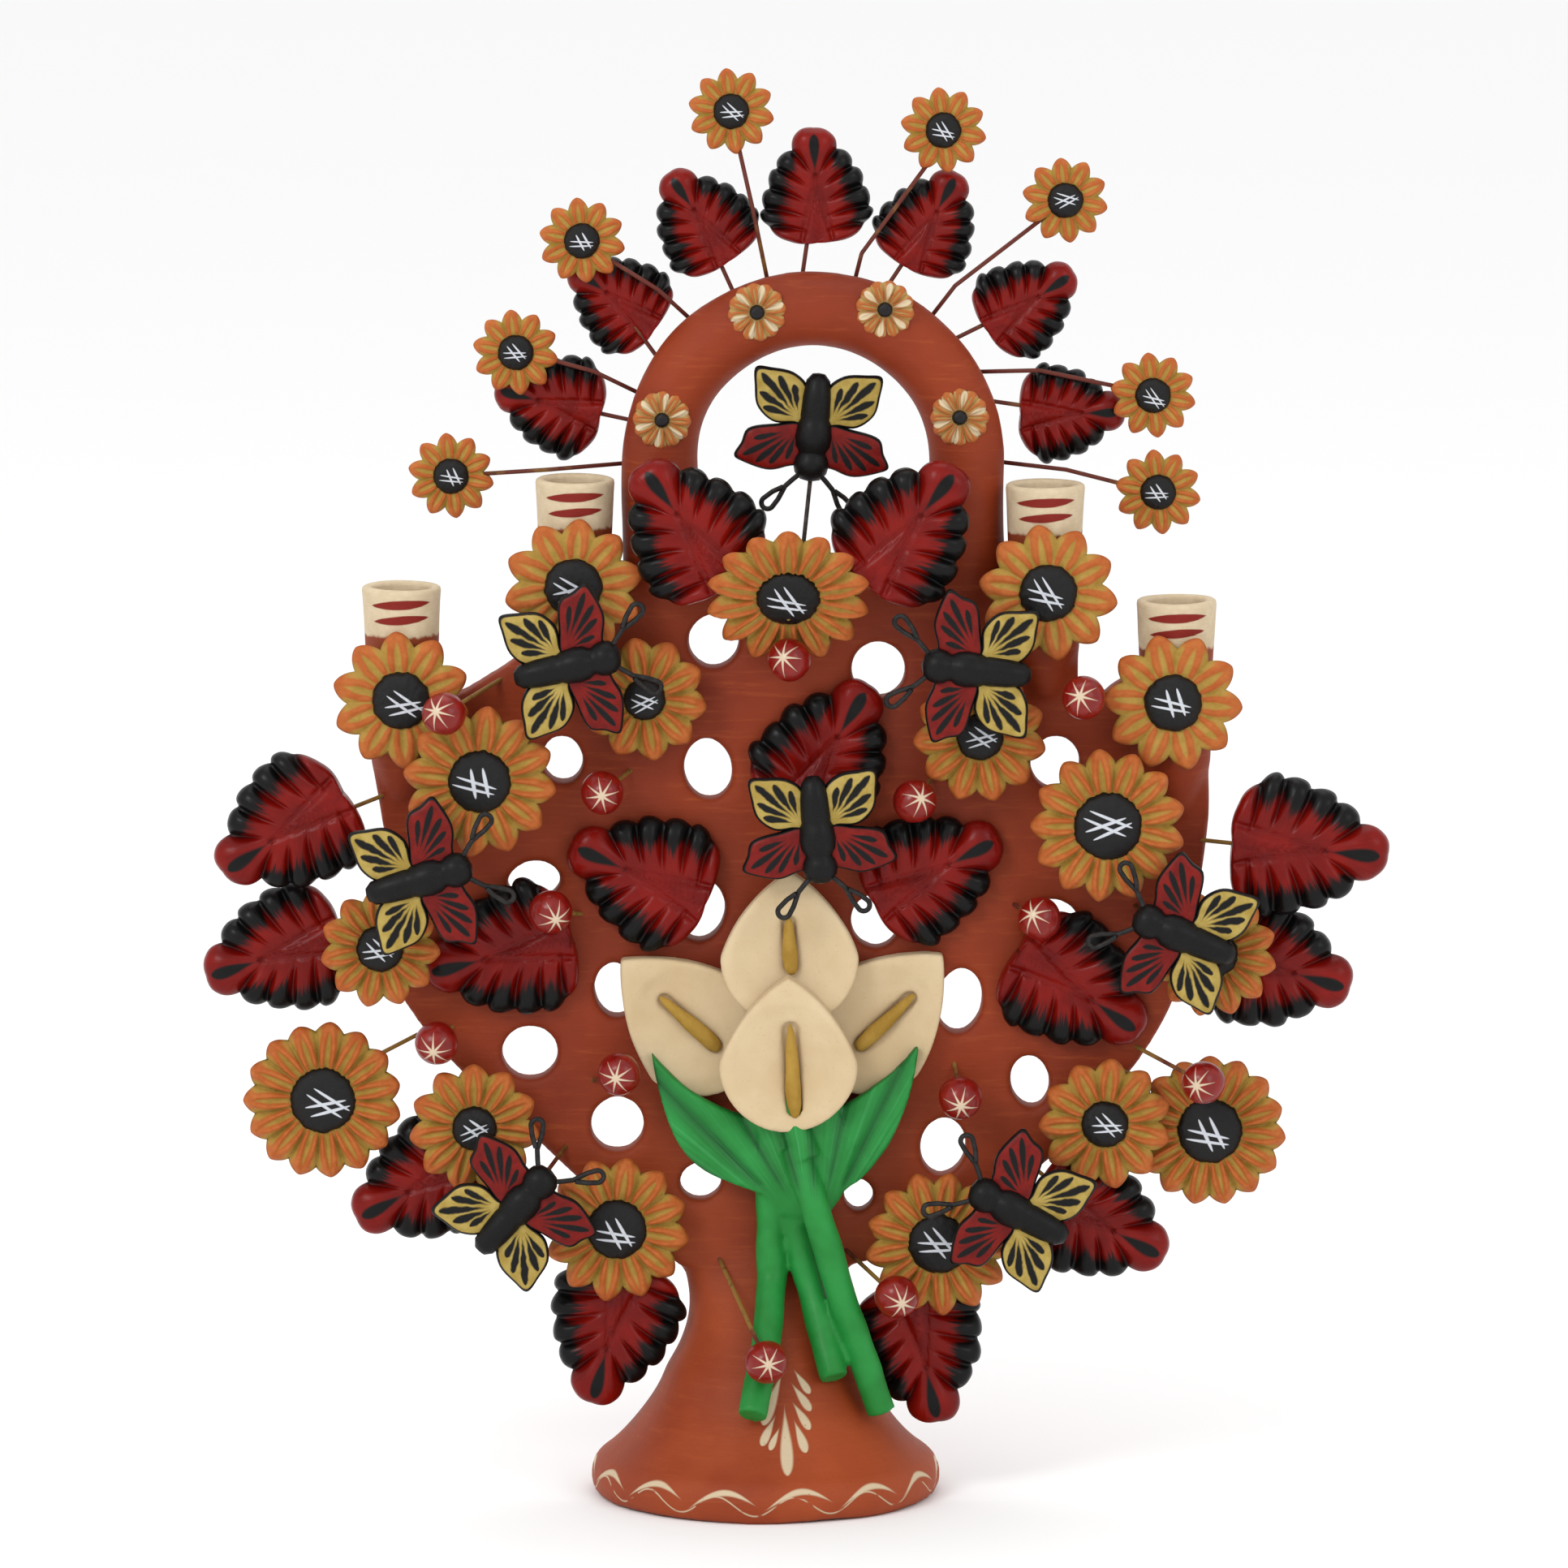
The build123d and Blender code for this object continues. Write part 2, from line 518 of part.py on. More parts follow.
def make_bouquet_greens(leaf_y):
    stem_r, thick = 5.5, 6.0
    left_stem = rod([(-8.3, -14, 116), (-7.4, -17.5, 83), (-9.5, -33, 63), (-15, -51, 38)], stem_r)
    middle_stem = rod([(-1.7, -14, 116), (6, -18, 83), (15.5, -34, 49)], stem_r)
    trunk = rod([(0.5, -24.5, 134), (9, -28, 110), (20.5, -29, 72), (33, -28, 35)], stem_r)
    pair = left_stem + middle_stem
    save("lily_stems", pair - trunk, trunk)
    left = make_face([
        Spline((-52.5, 169.5), (-46, 143), (-37, 127.5), (-24, 120), (3, 109)),
        Spline((-52.5, 169.5), (-34, 152), (-14, 143), (3, 136)),
        Line((3, 109), (3, 136)),
    ])
    right = make_face([
        Spline((46.5, 171.5), (42.5, 150), (34, 131), (20, 117)),
        Spline((46.5, 171.5), (30, 156), (14, 145), (6, 138)),
        Line((6, 138), (20, 117)),
    ])
    for name, face in (("lily_leaf_left", left), ("lily_leaf_right", right)):
        blade = Pos(0, leaf_y, 0) * Rot(90, 0, 0) * extrude(face, thick)
        save(name, blade - trunk - pair)


for flower_name in FLOWERS:
    save(f"sunflower_{flower_name}", make_flower(flower_name))
for cup_name, (fx, fz, count, turn) in CUP_FLOWERS.items():
    cup_flower = facing(fx, CUP_FLOWER_Y, fz, turn) * sunflower(25.5, 11.0, count)
    post_x = CUPS[cup_name][0]
    hold = CUPS[cup_name][1] - CUP_H - 8
    post_front = CUP_Y - POST_R
    save(f"sunflower_cup_{cup_name}", cup_flower - peg(post_x, CUP_FLOWER_Y - 2, hold, (post_x, hold), post_front))
for leaf_node in LEAVES:
    save(leaf_node, *make_leaves(leaf_node))
save("halo_leaves", *make_halo())
for number, halo_flower in enumerate(HALO_FLOWERS, 1):
    save(f"halo_sunflower_{number}", *make_halo_flower(*halo_flower))
for insect in BUTTERFLIES:
    save(f"butterfly_{insect}", *make_butterfly(insect))
save("butterfly_arch", *make_arch_butterfly())
save("red_berries", *make_berries())
make_bouquet()
for cup_name, (cup_x, cup_top) in CUPS.items():
    save(f"candle_cup_{cup_name}", make_cup(cup_x, cup_top))

arch_clay = make_arch()
daisies = []
for dx, dz in ARCH_DAISIES:
    daisy = facing(dx, ARCH_Y - ARCH_TUBE_R + 2.5, dz) * sunflower(11.0, 2.8, 12, 0.9, 1.8)
    daisies.append(daisy - arch_clay)
save("arch_daisies", *daisies)
for hole in arch_sockets:
    arch_clay = arch_clay - hole
save("arch", arch_clay)
save("fan_panel", make_fan())
save("foot", make_foot())
save("stem_wires", *fixed_wires)
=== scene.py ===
from functools import reduce
from math import cos, pi, radians, sin

import bmesh
import bpy
import numpy as np
from mathutils import Matrix, Vector, noise


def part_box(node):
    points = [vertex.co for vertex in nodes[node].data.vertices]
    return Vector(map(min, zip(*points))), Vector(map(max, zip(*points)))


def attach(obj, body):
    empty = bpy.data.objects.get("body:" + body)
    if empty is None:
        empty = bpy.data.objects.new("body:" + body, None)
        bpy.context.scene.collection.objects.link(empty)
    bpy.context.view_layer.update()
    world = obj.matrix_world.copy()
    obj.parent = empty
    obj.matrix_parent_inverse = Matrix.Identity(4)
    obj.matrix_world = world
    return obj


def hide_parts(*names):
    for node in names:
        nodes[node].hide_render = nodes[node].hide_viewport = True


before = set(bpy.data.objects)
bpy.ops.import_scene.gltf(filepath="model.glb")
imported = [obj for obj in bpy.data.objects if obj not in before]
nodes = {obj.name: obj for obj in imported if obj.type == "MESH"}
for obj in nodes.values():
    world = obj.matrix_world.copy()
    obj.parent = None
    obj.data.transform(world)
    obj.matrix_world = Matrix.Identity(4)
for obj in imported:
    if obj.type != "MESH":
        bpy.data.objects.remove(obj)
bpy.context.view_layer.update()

# ---- studio -------------------------------------------------------------------------
# A pale floor under an even white surround and large soft lamps, seen through a long
# lens that looks a little down on the tree.
VIEW_DISTANCE = 6.0
VIEW_DOWN = radians(9.3)
look_at = Vector((-0.0031, 0.0, 0.2660))
lens = bpy.data.cameras.new("studio_lens")
lens.sensor_width = 36.0
lens.lens = 372.7
lens.clip_end = 80.0
camera = bpy.data.objects.new("studio_camera", lens)
camera.location = look_at + VIEW_DISTANCE * Vector((0.0, -cos(VIEW_DOWN), sin(VIEW_DOWN)))
camera.rotation_euler = (look_at - camera.location).to_track_quat("-Z", "Y").to_euler()
bpy.context.collection.objects.link(camera)
bpy.context.scene.camera = camera
bpy.context.scene.view_settings.view_transform = "Standard"

floor_mesh = bpy.data.meshes.new("studio_floor")
FLOOR_HALF = 14.0
corners = [(x * FLOOR_HALF, y * FLOOR_HALF, -0.0002) for x, y in ((-1, -1), (1, -1), (1, 1), (-1, 1))]
floor_mesh.from_pydata(corners, [], [(0, 1, 2, 3)])
floor_paper = bpy.data.materials.new("studio_paper")
floor_paper.use_nodes = True
paper = floor_paper.node_tree.nodes["Principled BSDF"]
paper.inputs["Base Color"].default_value = (0.93, 0.93, 0.93, 1.0)
paper.inputs["Roughness"].default_value = 0.9
paper.inputs["Specular IOR Level"].default_value = 0.1
floor_mesh.materials.append(floor_paper)
floor = bpy.data.objects.new("studio_floor", floor_mesh)
bpy.context.collection.objects.link(floor)

surround = bpy.data.worlds.new("studio_surround")
surround.use_nodes = True
surround.node_tree.nodes["Background"].inputs["Color"].default_value = (1.0, 1.0, 1.0, 1.0)
surround.node_tree.nodes["Background"].inputs["Strength"].default_value = 1.0
bpy.context.scene.world = surround

for lamp_name, spot, size, power in (
    ("lamp_left", (-1.5, -2.2, 1.9), 1.1, 27.0),
    ("lamp_right", (1.8, -2.0, 1.4), 1.3, 9.0),
    ("lamp_above", (0.1, 0.3, 2.4), 1.6, 9.0),
):
    lamp_data = bpy.data.lights.new(lamp_name, "AREA")
    lamp_data.shape = "DISK"
    lamp_data.size = size
    lamp_data.energy = power
    lamp = bpy.data.objects.new(lamp_name, lamp_data)
    lamp.location = spot
    lamp.rotation_euler = (Vector((0.0, 0.0, 0.27)) - lamp.location).to_track_quat("-Z", "Y").to_euler()
    bpy.context.collection.objects.link(lamp)


# ---- fired clay body: bell foot, pierced fan, candle posts and arch -----------------------
# One piece of hand-built terracotta, coiled and slapped up, with its joins smoothed over.
# Burnished with a wet rag, fired, then trimmed with strokes of cream slip on the foot. Above the foot the
# colour is deepened as painted shade on the fan and arch.
class Flow:
    """A socket in a node tree. Sums on it add Math nodes, so a pattern reads like arithmetic."""

    def __init__(self, tree, socket=None):
        self.tree = tree
        self.socket = socket

    def node(self, kind, settings=None, sockets=None, out=0):
        made = self.tree.nodes.new(kind)
        for name, value in (settings or {}).items():
            setattr(made, name, value)
        for key, value in (sockets or {}).items():
            if isinstance(value, Flow):
                self.tree.links.new(value.socket, made.inputs[key])
            else:
                made.inputs[key].default_value = value
        return Flow(self.tree, made.outputs[out])

    def sum(self, operation, *terms):
        return self.node("ShaderNodeMath", {"operation": operation}, dict(enumerate(terms)))

    def __add__(self, other):
        return self.sum("ADD", self, other)

    __radd__ = __add__

    def __sub__(self, other):
        return self.sum("SUBTRACT", self, other)

    def __rsub__(self, other):
        return self.sum("SUBTRACT", other, self)

    def __mul__(self, other):
        return self.sum("MULTIPLY", self, other)

    __rmul__ = __mul__

    def __neg__(self):
        return self * -1.0

    def __truediv__(self, other):
        return self.sum("DIVIDE", self, other)

    def __rtruediv__(self, other):
        return self.sum("DIVIDE", other, self)

    def __pow__(self, other):
        return self.sum("POWER", self, other)

    def size(self):
        return self.sum("ABSOLUTE", self)

    def most(self, other):
        return self.sum("MAXIMUM", self, other)

    def least(self, other):
        return self.sum("MINIMUM", self, other)

    def rise(self, start, end):
        """0 before start, 1 after end, and a smooth step between; start may be the larger."""
        if isinstance(start, (int, float)) and isinstance(end, (int, float)) and start > end:
            return 1.0 - self.rise(end, start)
        spans = {"Value": self, "From Min": start, "From Max": end}
        return self.node("ShaderNodeMapRange", {"interpolation_type": "SMOOTHSTEP"}, spans)

    def blend(self, low, high):
        """From colour low to colour high as this goes from 0 to 1."""
        return self.node("ShaderNodeMix", {"data_type": "RGBA"}, {"Factor": self, 6: low, 7: high}, 2)

    def part(self, axis):
        return self.node("ShaderNodeSeparateXYZ", None, {0: self}, axis)

    def joined(self, x, y, z):
        return self.node("ShaderNodeCombineXYZ", None, {"X": x, "Y": y, "Z": z})

    def grain(self, scale, detail=3.0, roughness=0.5):
        sockets = {"Vector": self, "Scale": scale, "Detail": detail, "Roughness": roughness}
        return self.node("ShaderNodeTexNoise", None, sockets)

    def own(self, name):
        """The piece's own attribute of that name, as a vector."""
        return self.node("ShaderNodeAttribute", {"attribute_name": name}, None, "Vector")

    def place(self):
        """Where on the tree this is, in metres."""
        return self.node("ShaderNodeTexCoord", None, None, "Object")

    def mottled(self, one, other):
        """One colour where this noise is low, the other where it is high."""
        return self.rise(0.3, 0.7).blend(one, other)


STUDIO_LEVEL = 1.36  # how much light the studio puts on a face that looks at the front


def tone(red, green, blue):
    """The paint that looks this colour, 0 to 255 a channel, in the studio's light."""
    parts = [v / 255 for v in (red, green, blue)]
    seen = [v / 12.92 if v <= 0.04045 else ((v + 0.055) / 1.055) ** 2.4 for v in parts]
    return tuple(v / STUDIO_LEVEL for v in seen) + (1.0,)


def painted(name, look, coat=0.0, coat_roughness=0.2, sheen=0.25):
    """A material whose look gives a colour, a roughness and a relief height in metres."""
    material = bpy.data.materials.new(name)
    material.use_nodes = True
    tree = material.node_tree
    shader = tree.nodes["Principled BSDF"]
    colour, rough, relief = look(Flow(tree))
    bump = relief.node("ShaderNodeBump", None, {"Height": relief, "Distance": 1.0})
    for socket, flow in (("Base Color", colour), ("Roughness", rough), ("Normal", bump)):
        tree.links.new(flow.socket, shader.inputs[socket])
    shader.inputs["Specular IOR Level"].default_value = sheen
    shader.inputs["Coat Weight"].default_value = coat
    shader.inputs["Coat Roughness"].default_value = coat_roughness
    return material


def stroke(x, y, start, end, width):
    """One touch of a round brush: thin at start, broad and round at end."""
    run = Vector(end) - Vector(start)
    along = run / run.length_squared
    across = Vector((-run.y, run.x)) / run.length
    travel = x * along.x + (y * along.y - along.dot(Vector(start)))
    travel = travel.least(1.0).most(0.0)
    aside = (x * across.x + (y * across.y - across.dot(Vector(start)))).size()
    peak = 0.3248  # the most that the curve on the next line reaches
    half = travel ** 1.5 * (1.0 - travel) ** 0.5 * (width / peak)
    return ((half - aside) * (3.0 / width)).least(1.0).most(0.0)


def dash(x, y, start, end, width):
    """One quick line of a thin brush, of even width with soft ends."""
    run = Vector(end) - Vector(start)
    along = run / run.length_squared
    across = Vector((-run.y, run.x)) / run.length
    travel = (x * along.x + (y * along.y - along.dot(Vector(start)))).least(1.0).most(0.0)
    aside = (x * across.x + (y * across.y - across.dot(Vector(start)))).size()
    half = (travel * (1.0 - travel) * 4.0) ** 0.4 * width
    return ((half - aside) * (3.0 / width)).least(1.0).most(0.0)


def strongest(touches):
    """Brush touches laid over each other."""
    return reduce(Flow.most, touches)


def placed(name, mesh, *paints):
    """A new piece that shows this mesh in these paints."""
    mesh.materials.clear()
    for paint in paints:
        mesh.materials.append(paint)
    mesh.polygons.foreach_set("use_smooth", [True] * len(mesh.polygons))
    piece = bpy.data.objects.new(name, mesh)
    bpy.context.collection.objects.link(piece)
    return piece


def welded(node):
    """A CAD node's mesh as one closed surface."""
    form = bmesh.new()
    form.from_mesh(nodes[node].data)
    bmesh.ops.remove_doubles(form, verts=form.verts, dist=2e-6)
    return form


def softened(name, forms, grain_size, passes):
    """The forms run together as one lump of clay, with its edges rubbed round."""
    whole = bpy.data.meshes.new(name)
    lump = bmesh.new()
    for form in forms:
        form.to_mesh(whole)
        lump.from_mesh(whole)
        form.free()
    lump.to_mesh(whole)
    lump.free()
    holder = bpy.data.objects.new(name, whole)
    bpy.context.collection.objects.link(holder)
    remesh = holder.modifiers.new("slap", "REMESH")
    remesh.mode = "VOXEL"
    remesh.voxel_size = grain_size
    rub = holder.modifiers.new("rub", "SMOOTH")
    rub.factor = 0.5
    rub.iterations = passes
    evaluated = holder.evaluated_get(bpy.context.evaluated_depsgraph_get())
    mesh = bpy.data.meshes.new_from_object(evaluated)
    bpy.data.objects.remove(holder)
    return mesh


def spots_of(mesh):
    spots = np.zeros(len(mesh.vertices) * 3, np.float32)
    mesh.vertices.foreach_get("co", spots)
    return spots.reshape(-1, 3).astype(float)


def respotted(mesh, spots):
    mesh.vertices.foreach_set("co", spots.astype(np.float32).ravel())
    mesh.update()


def pressed(mesh, amount, size, shift=0.0):
    """Moves the surface in and out a little, as hands leave it."""
    spots = spots_of(mesh)
    outward = np.zeros(spots.size, np.float32)
    mesh.vertex_normals.foreach_get("vector", outward)
    drift = Vector((shift, -shift, 2 * shift))
    swell = np.array([noise.noise(Vector(s) / size + drift) for s in spots]) * amount
    respotted(mesh, spots + outward.reshape(-1, 3) * swell[:, None])


CLAY_GRAIN = 0.0021
SEAM_LAP = 0.004
foot_low, foot_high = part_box("foot")
arch_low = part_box("arch")[0]
foot_x = 1000 * (foot_low.x + foot_high.x) / 2
foot_form, fan_form, arch_form = welded("foot"), welded("fan_panel"), welded("arch")
for corner in foot_form.verts:
    if corner.co.z > foot_high.z - 0.0005:
        corner.co.z += SEAM_LAP
for corner in arch_form.verts:
    if corner.co.z < arch_low.z + 0.0005:
        corner.co.z -= SEAM_LAP
body_mesh = softened("clay_body", (foot_form, fan_form, arch_form), CLAY_GRAIN, 7)
pressed(body_mesh, 0.0007, 0.03)

PALM = (  # strokes of slip on the front of the foot: start, end, half width, mm from its middle
    ((6.9, 41.3), (8.3, 16.8), 2.7),
    ((10.0, 52.5), (16.6, 43.3), 1.5),
    ((9.0, 48.2), (16.9, 37.4), 1.7),
    ((9.4, 41.7), (16.6, 31.2), 1.7),
    ((10.2, 35.6), (15.2, 23.8), 1.9),
    ((6.8, 52.7), (-0.9, 33.1), 2.5),
    ((4.2, 37.2), (-1.5, 26.4), 1.8),
    ((5.6, 33.1), (1.6, 25.0), 1.4),
)
SCROLLS = 14  # slip scrolls round the foot's rim


def terracotta_look(flow):
    where = flow.place()
    x = where.part("X") * 1000.0 - foot_x
    y = where.part("Y") * 1000.0
    z = where.part("Z") * 1000.0
    cloud = where.grain(14.0, 4.0, 0.6)
    rubbed = flow.joined(x * 0.02, y * 0.02, z * 0.22).grain(2.2, 5.0, 0.65)
    speck = where.grain(950.0, 2.0, 0.6)
    bare_foot = cloud.rise(0.3, 0.72).blend(tone(154, 60, 24), tone(178, 78, 34))
    # Painted shade: above the foot the clay takes a deeper tone, standing in for the shade that falls on the
    # fan and arch.
    shade_above_foot = cloud.rise(0.3, 0.72).blend(tone(138, 46, 14), tone(160, 60, 20))
    colour = z.rise(70.0, 170.0).blend(bare_foot, shade_above_foot)
    colour = (rubbed.rise(0.52, 0.75) * 0.45).blend(colour, tone(184, 86, 38))
    colour = (speck.rise(0.66, 0.78) * 0.4).blend(colour, tone(120, 44, 20))
    front = (-y).rise(4.0, 10.0)
    low_down = z.rise(60.0, 54.0)
    slip = strongest(stroke(x, z, *touch) for touch in PALM) * front * low_down
    angle = flow.sum("ARCTAN2", x, -y)
    turn = angle * (SCROLLS / (2 * pi)) + 40.06
    phase = turn.sum("FRACT", turn) - 0.5
    beat = turn.sum("FLOOR", turn)
    sway = flow.joined(beat, 0.0, 0.0).grain(3.7, 0.0)
    hump = flow.sum("COSINE", (phase - 0.05) * (1.9 * pi / 2))
    ridge_z = 4.6 + 7.2 * hump + (sway - 0.5) * 2.0
    broad = (1.0 - (phase * 2.15) ** 2.0).most(0.0) * 1.35
    crescent = ((broad - (z - ridge_z).size()) * 1.6).least(1.0).most(0.0)
    thin_phase = flow.sum("SINE", (phase + 0.32) * (2 * pi))
    tendril = ((0.5 - (z - (6.6 + 3.4 * thin_phase)).size()) * 2.2).least(1.0).most(0.0)
    skips = flow.joined(angle * 9.0, z * 0.2, 0.0).grain(1.2, 1.0)
    rim = crescent.most(tendril * skips.rise(0.38, 0.5))
    on_rim = z.rise(15.5, 14.0) * z.rise(1.5, 2.5) * (x * x + y * y).rise(2900.0, 3100.0)
    slip = slip.most(rim * on_rim)
    worn = flow.joined(x, y, z).grain(0.9, 4.0, 0.7)
    slip = slip * worn.rise(0.24, 0.36)
    colour = slip.blend(colour, tone(226, 203, 168))
    rough = 0.46 + 0.16 * cloud + 0.10 * speck
    relief = rubbed * 0.00022 + speck * 0.00005 + slip * 0.00018 + where.grain(260.0, 3.0) * 0.00012
    return colour, rough, relief


terracotta = painted("fired_terracotta", terracotta_look)
clay_body = placed("clay_body", body_mesh, terracotta)
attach(clay_body, "tree")
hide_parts("foot", "fan_panel", "arch")


# ---- candle cups -----------------------------------------------------------------------
# Short turned sockets of the same clay, dipped in cream slip down to the sunflower, each
# with two red brush marks on its front. The bore takes a common household candle.
def turned(profile, steps):
    """A closed form turned about Z from (radius, height) pairs, bottom to top and back."""
    form = bmesh.new()
    rows = []
    for radius, height in profile:
        if radius < 1e-6:
            rows.append([form.verts.new((0.0, 0.0, height))])
            continue
        angles = [2 * pi * i / steps for i in range(steps)]
        rows.append([form.verts.new((radius * cos(a), radius * sin(a), height)) for a in angles])
    for below, above in zip(rows, rows[1:]):
        for i in range(steps):
            j = (i + 1) % steps
            ring = [row[k % len(row)] for row, k in ((below, i), (below, j), (above, j), (above, i))]
            form.faces.new(dict.fromkeys(ring))
    bmesh.ops.recalc_face_normals(form, faces=form.faces)
    return form


def shaped(name, form):
    """The form as a mesh, and the form is done with."""
    mesh = bpy.data.meshes.new(name)
    form.to_mesh(mesh)
    form.free()
    return mesh


def tagged(mesh, name, values):
    """Gives each corner point of the mesh a vector of its own for its paint to read."""
    layer = mesh.attributes.new(name, "FLOAT_VECTOR", "POINT")
    layer.data.foreach_set("vector", np.asarray(values, np.float32).ravel())


CUP_PROFILE = (  # mm, height measured down from the mouth
    (0.0, -27.0), (12.6, -27.0), (13.4, -26.4), (13.7, -20.0), (14.1, -12.0), (14.4, -5.0), (14.6, -1.6),
    (14.4, -0.5), (13.7, 0.0), (12.0, -0.1), (11.1, -0.6), (10.75, -1.6), (10.75, -20.5), (9.8, -22.0),
    (0.0, -22.0),
)


def cup_look(flow):
    where = flow.own("cup")
    x, y, z = where.part("X"), where.part("Y"), where.part("Z")
    arc = flow.sum("ARCTAN2", x, -y) * 14.3
    mottle = where.grain(0.28, 4.0, 0.6)
    colour = mottle.mottled(tone(224, 202, 166), tone(234, 214, 180))
    brush = flow.joined(arc * 0.1, 0.0, z * 2.2).grain(1.2, 3.0)
    colour = (brush.rise(0.55, 0.75) * 0.3).blend(colour, tone(206, 180, 140))
    marks = []
    for middle, half_run, half_rise, lean in ((-5.2, 12.2, 1.9, 0.05), (-10.9, 11.6, 1.8, 0.07)):
        level = (z - middle - arc * lean).size()
        lens_edge = (1.0 - (arc / half_run) ** 2.0).most(0.0) ** 0.8 * half_rise
        marks.append(((lens_edge - level + (brush - 0.5) * 0.5) * 3.0).least(1.0).most(0.0))
    marks = strongest(marks) * (x * x + y * y).rise(160.0, 175.0) * arc.size().rise(13.5, 12.5)
    colour = marks.blend(colour, tone(140, 30, 18))
    bare = (z + (mottle - 0.5) * 3.0).rise(-16.5, -18.0)
    inside = (x * x + y * y).rise(150.0, 120.0) * z.rise(-2.0, -7.0)
    colour = bare.most(inside * 0.75).blend(colour, tone(150, 66, 32))
    rough = 0.55 + 0.2 * mottle
    relief = brush * 0.00015 + mottle * 0.0002 + marks * 0.0001
    return colour, rough, relief


cup_paint = painted("cream_slip_cup", cup_look)
for place in ("outer_left", "inner_left", "inner_right", "outer_right"):
    low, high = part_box(f"candle_cup_{place}")
    cup_mesh = shaped(f"cup_{place}", turned(CUP_PROFILE, 56))
    tagged(cup_mesh, "cup", spots_of(cup_mesh))
    middle = (low + high) / 2
    cup_mesh.transform(Matrix.Translation((middle.x, middle.y, high.z)) @ Matrix.Scale(0.001, 4))
    pressed(cup_mesh, 0.0004, 0.02, middle.x * 40)
    cup = placed(f"cup_{place}", cup_mesh, cup_paint)
    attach(cup, "tree")
    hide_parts(f"candle_cup_{place}")


# ---- sunflowers ------------------------------------------------------------------------
# Slabs of clay pressed in a petalled mould, with a knobbly button of black clay on top,
# brushed mustard, then orange over the ridges, and finished with crossed white strokes.
def islands(node):
    """The node's solids, left to right: each one's corner points (mm) and its faces."""
    form = welded(node)
    form.verts.index_update()
    seen, found = set(), []
    for first in form.verts:
        if first.index in seen:
            continue
        group, reach = [], [first]
        seen.add(first.index)
        while reach:
            here = reach.pop()
            group.append(here)
            for edge in here.link_edges:
                other = edge.other_vert(here)
                if other.index not in seen:
                    seen.add(other.index)
                    reach.append(other)
        number = {v.index: i for i, v in enumerate(group)}
        faces = {f for v in group for f in v.link_faces}
        corners = [[number[v.index] for v in f.verts] for f in sorted(faces, key=lambda f: f.index)]
        found.append((np.array([v.co[:] for v in group]) * 1000, corners))
    form.free()
    return sorted(found, key=lambda solid: solid[0][:, 0].mean())


def upright(solid):
    """The flat solid's own directions: right, up and out, with out towards the front."""
    points, corners = solid
    tilts = {}
    for face in corners:
        a, b, c = points[list(face[:3])]
        lean = np.cross(b - a, c - a)
        key = tuple(np.round(lean / max(np.linalg.norm(lean), 1e-9), 2) + 0.0)
        tilts[key] = tilts.get(key, 0.0) + lean
    out = Vector(max(tilts.values(), key=np.linalg.norm)).normalized()
    if out.y > 0:
        out = -out
    up = (Vector((0, 0, 1)) - out * out.z).normalized()
    right = up.cross(out)
    return np.array([right, up, out])


def grown(tree, name, sizes, guide=None):
    """Runs the tree on the guide with these sizes and gives the plain mesh that comes out."""
    host = bpy.data.objects.new(name, guide or bpy.data.meshes.new(name))
    bpy.context.collection.objects.link(host)
    grow = host.modifiers.new("grow", "NODES")
    grow.node_group = tree
    for item in tree.interface.items_tree:
        if item.in_out == "INPUT" and item.name in sizes:
            grow[item.identifier] = sizes[item.name]
    mesh = bpy.data.meshes.new_from_object(host.evaluated_get(bpy.context.evaluated_depsgraph_get()))
    bpy.data.objects.remove(host)
    return mesh


def opened_tree(name, inputs):
    """A geometry tree with these inputs; gives the tree, its inputs as flows and its way out."""
    tree = bpy.data.node_groups.new(name, "GeometryNodeTree")
    tree.interface.new_socket("Geometry", in_out="OUTPUT", socket_type="NodeSocketGeometry")
    tree.interface.new_socket("Geometry", in_out="INPUT", socket_type="NodeSocketGeometry")
    for label, kind, value in inputs:
        made = tree.interface.new_socket(label, in_out="INPUT", socket_type=kind)
        if value is not None:
            made.default_value = value
    given = tree.nodes.new("NodeGroupInput")
    result = tree.nodes.new("NodeGroupOutput")
    sizes = {label: Flow(tree, given.outputs[label]) for label, kind, value in inputs}
    sizes["Geometry"] = Flow(tree, given.outputs["Geometry"])
    return tree, sizes, result


PETAL_STEPS = 16  # faces across a petal
PETAL_ROWS = 27
BACK_SHARE = 0.3  # of the rows, underneath


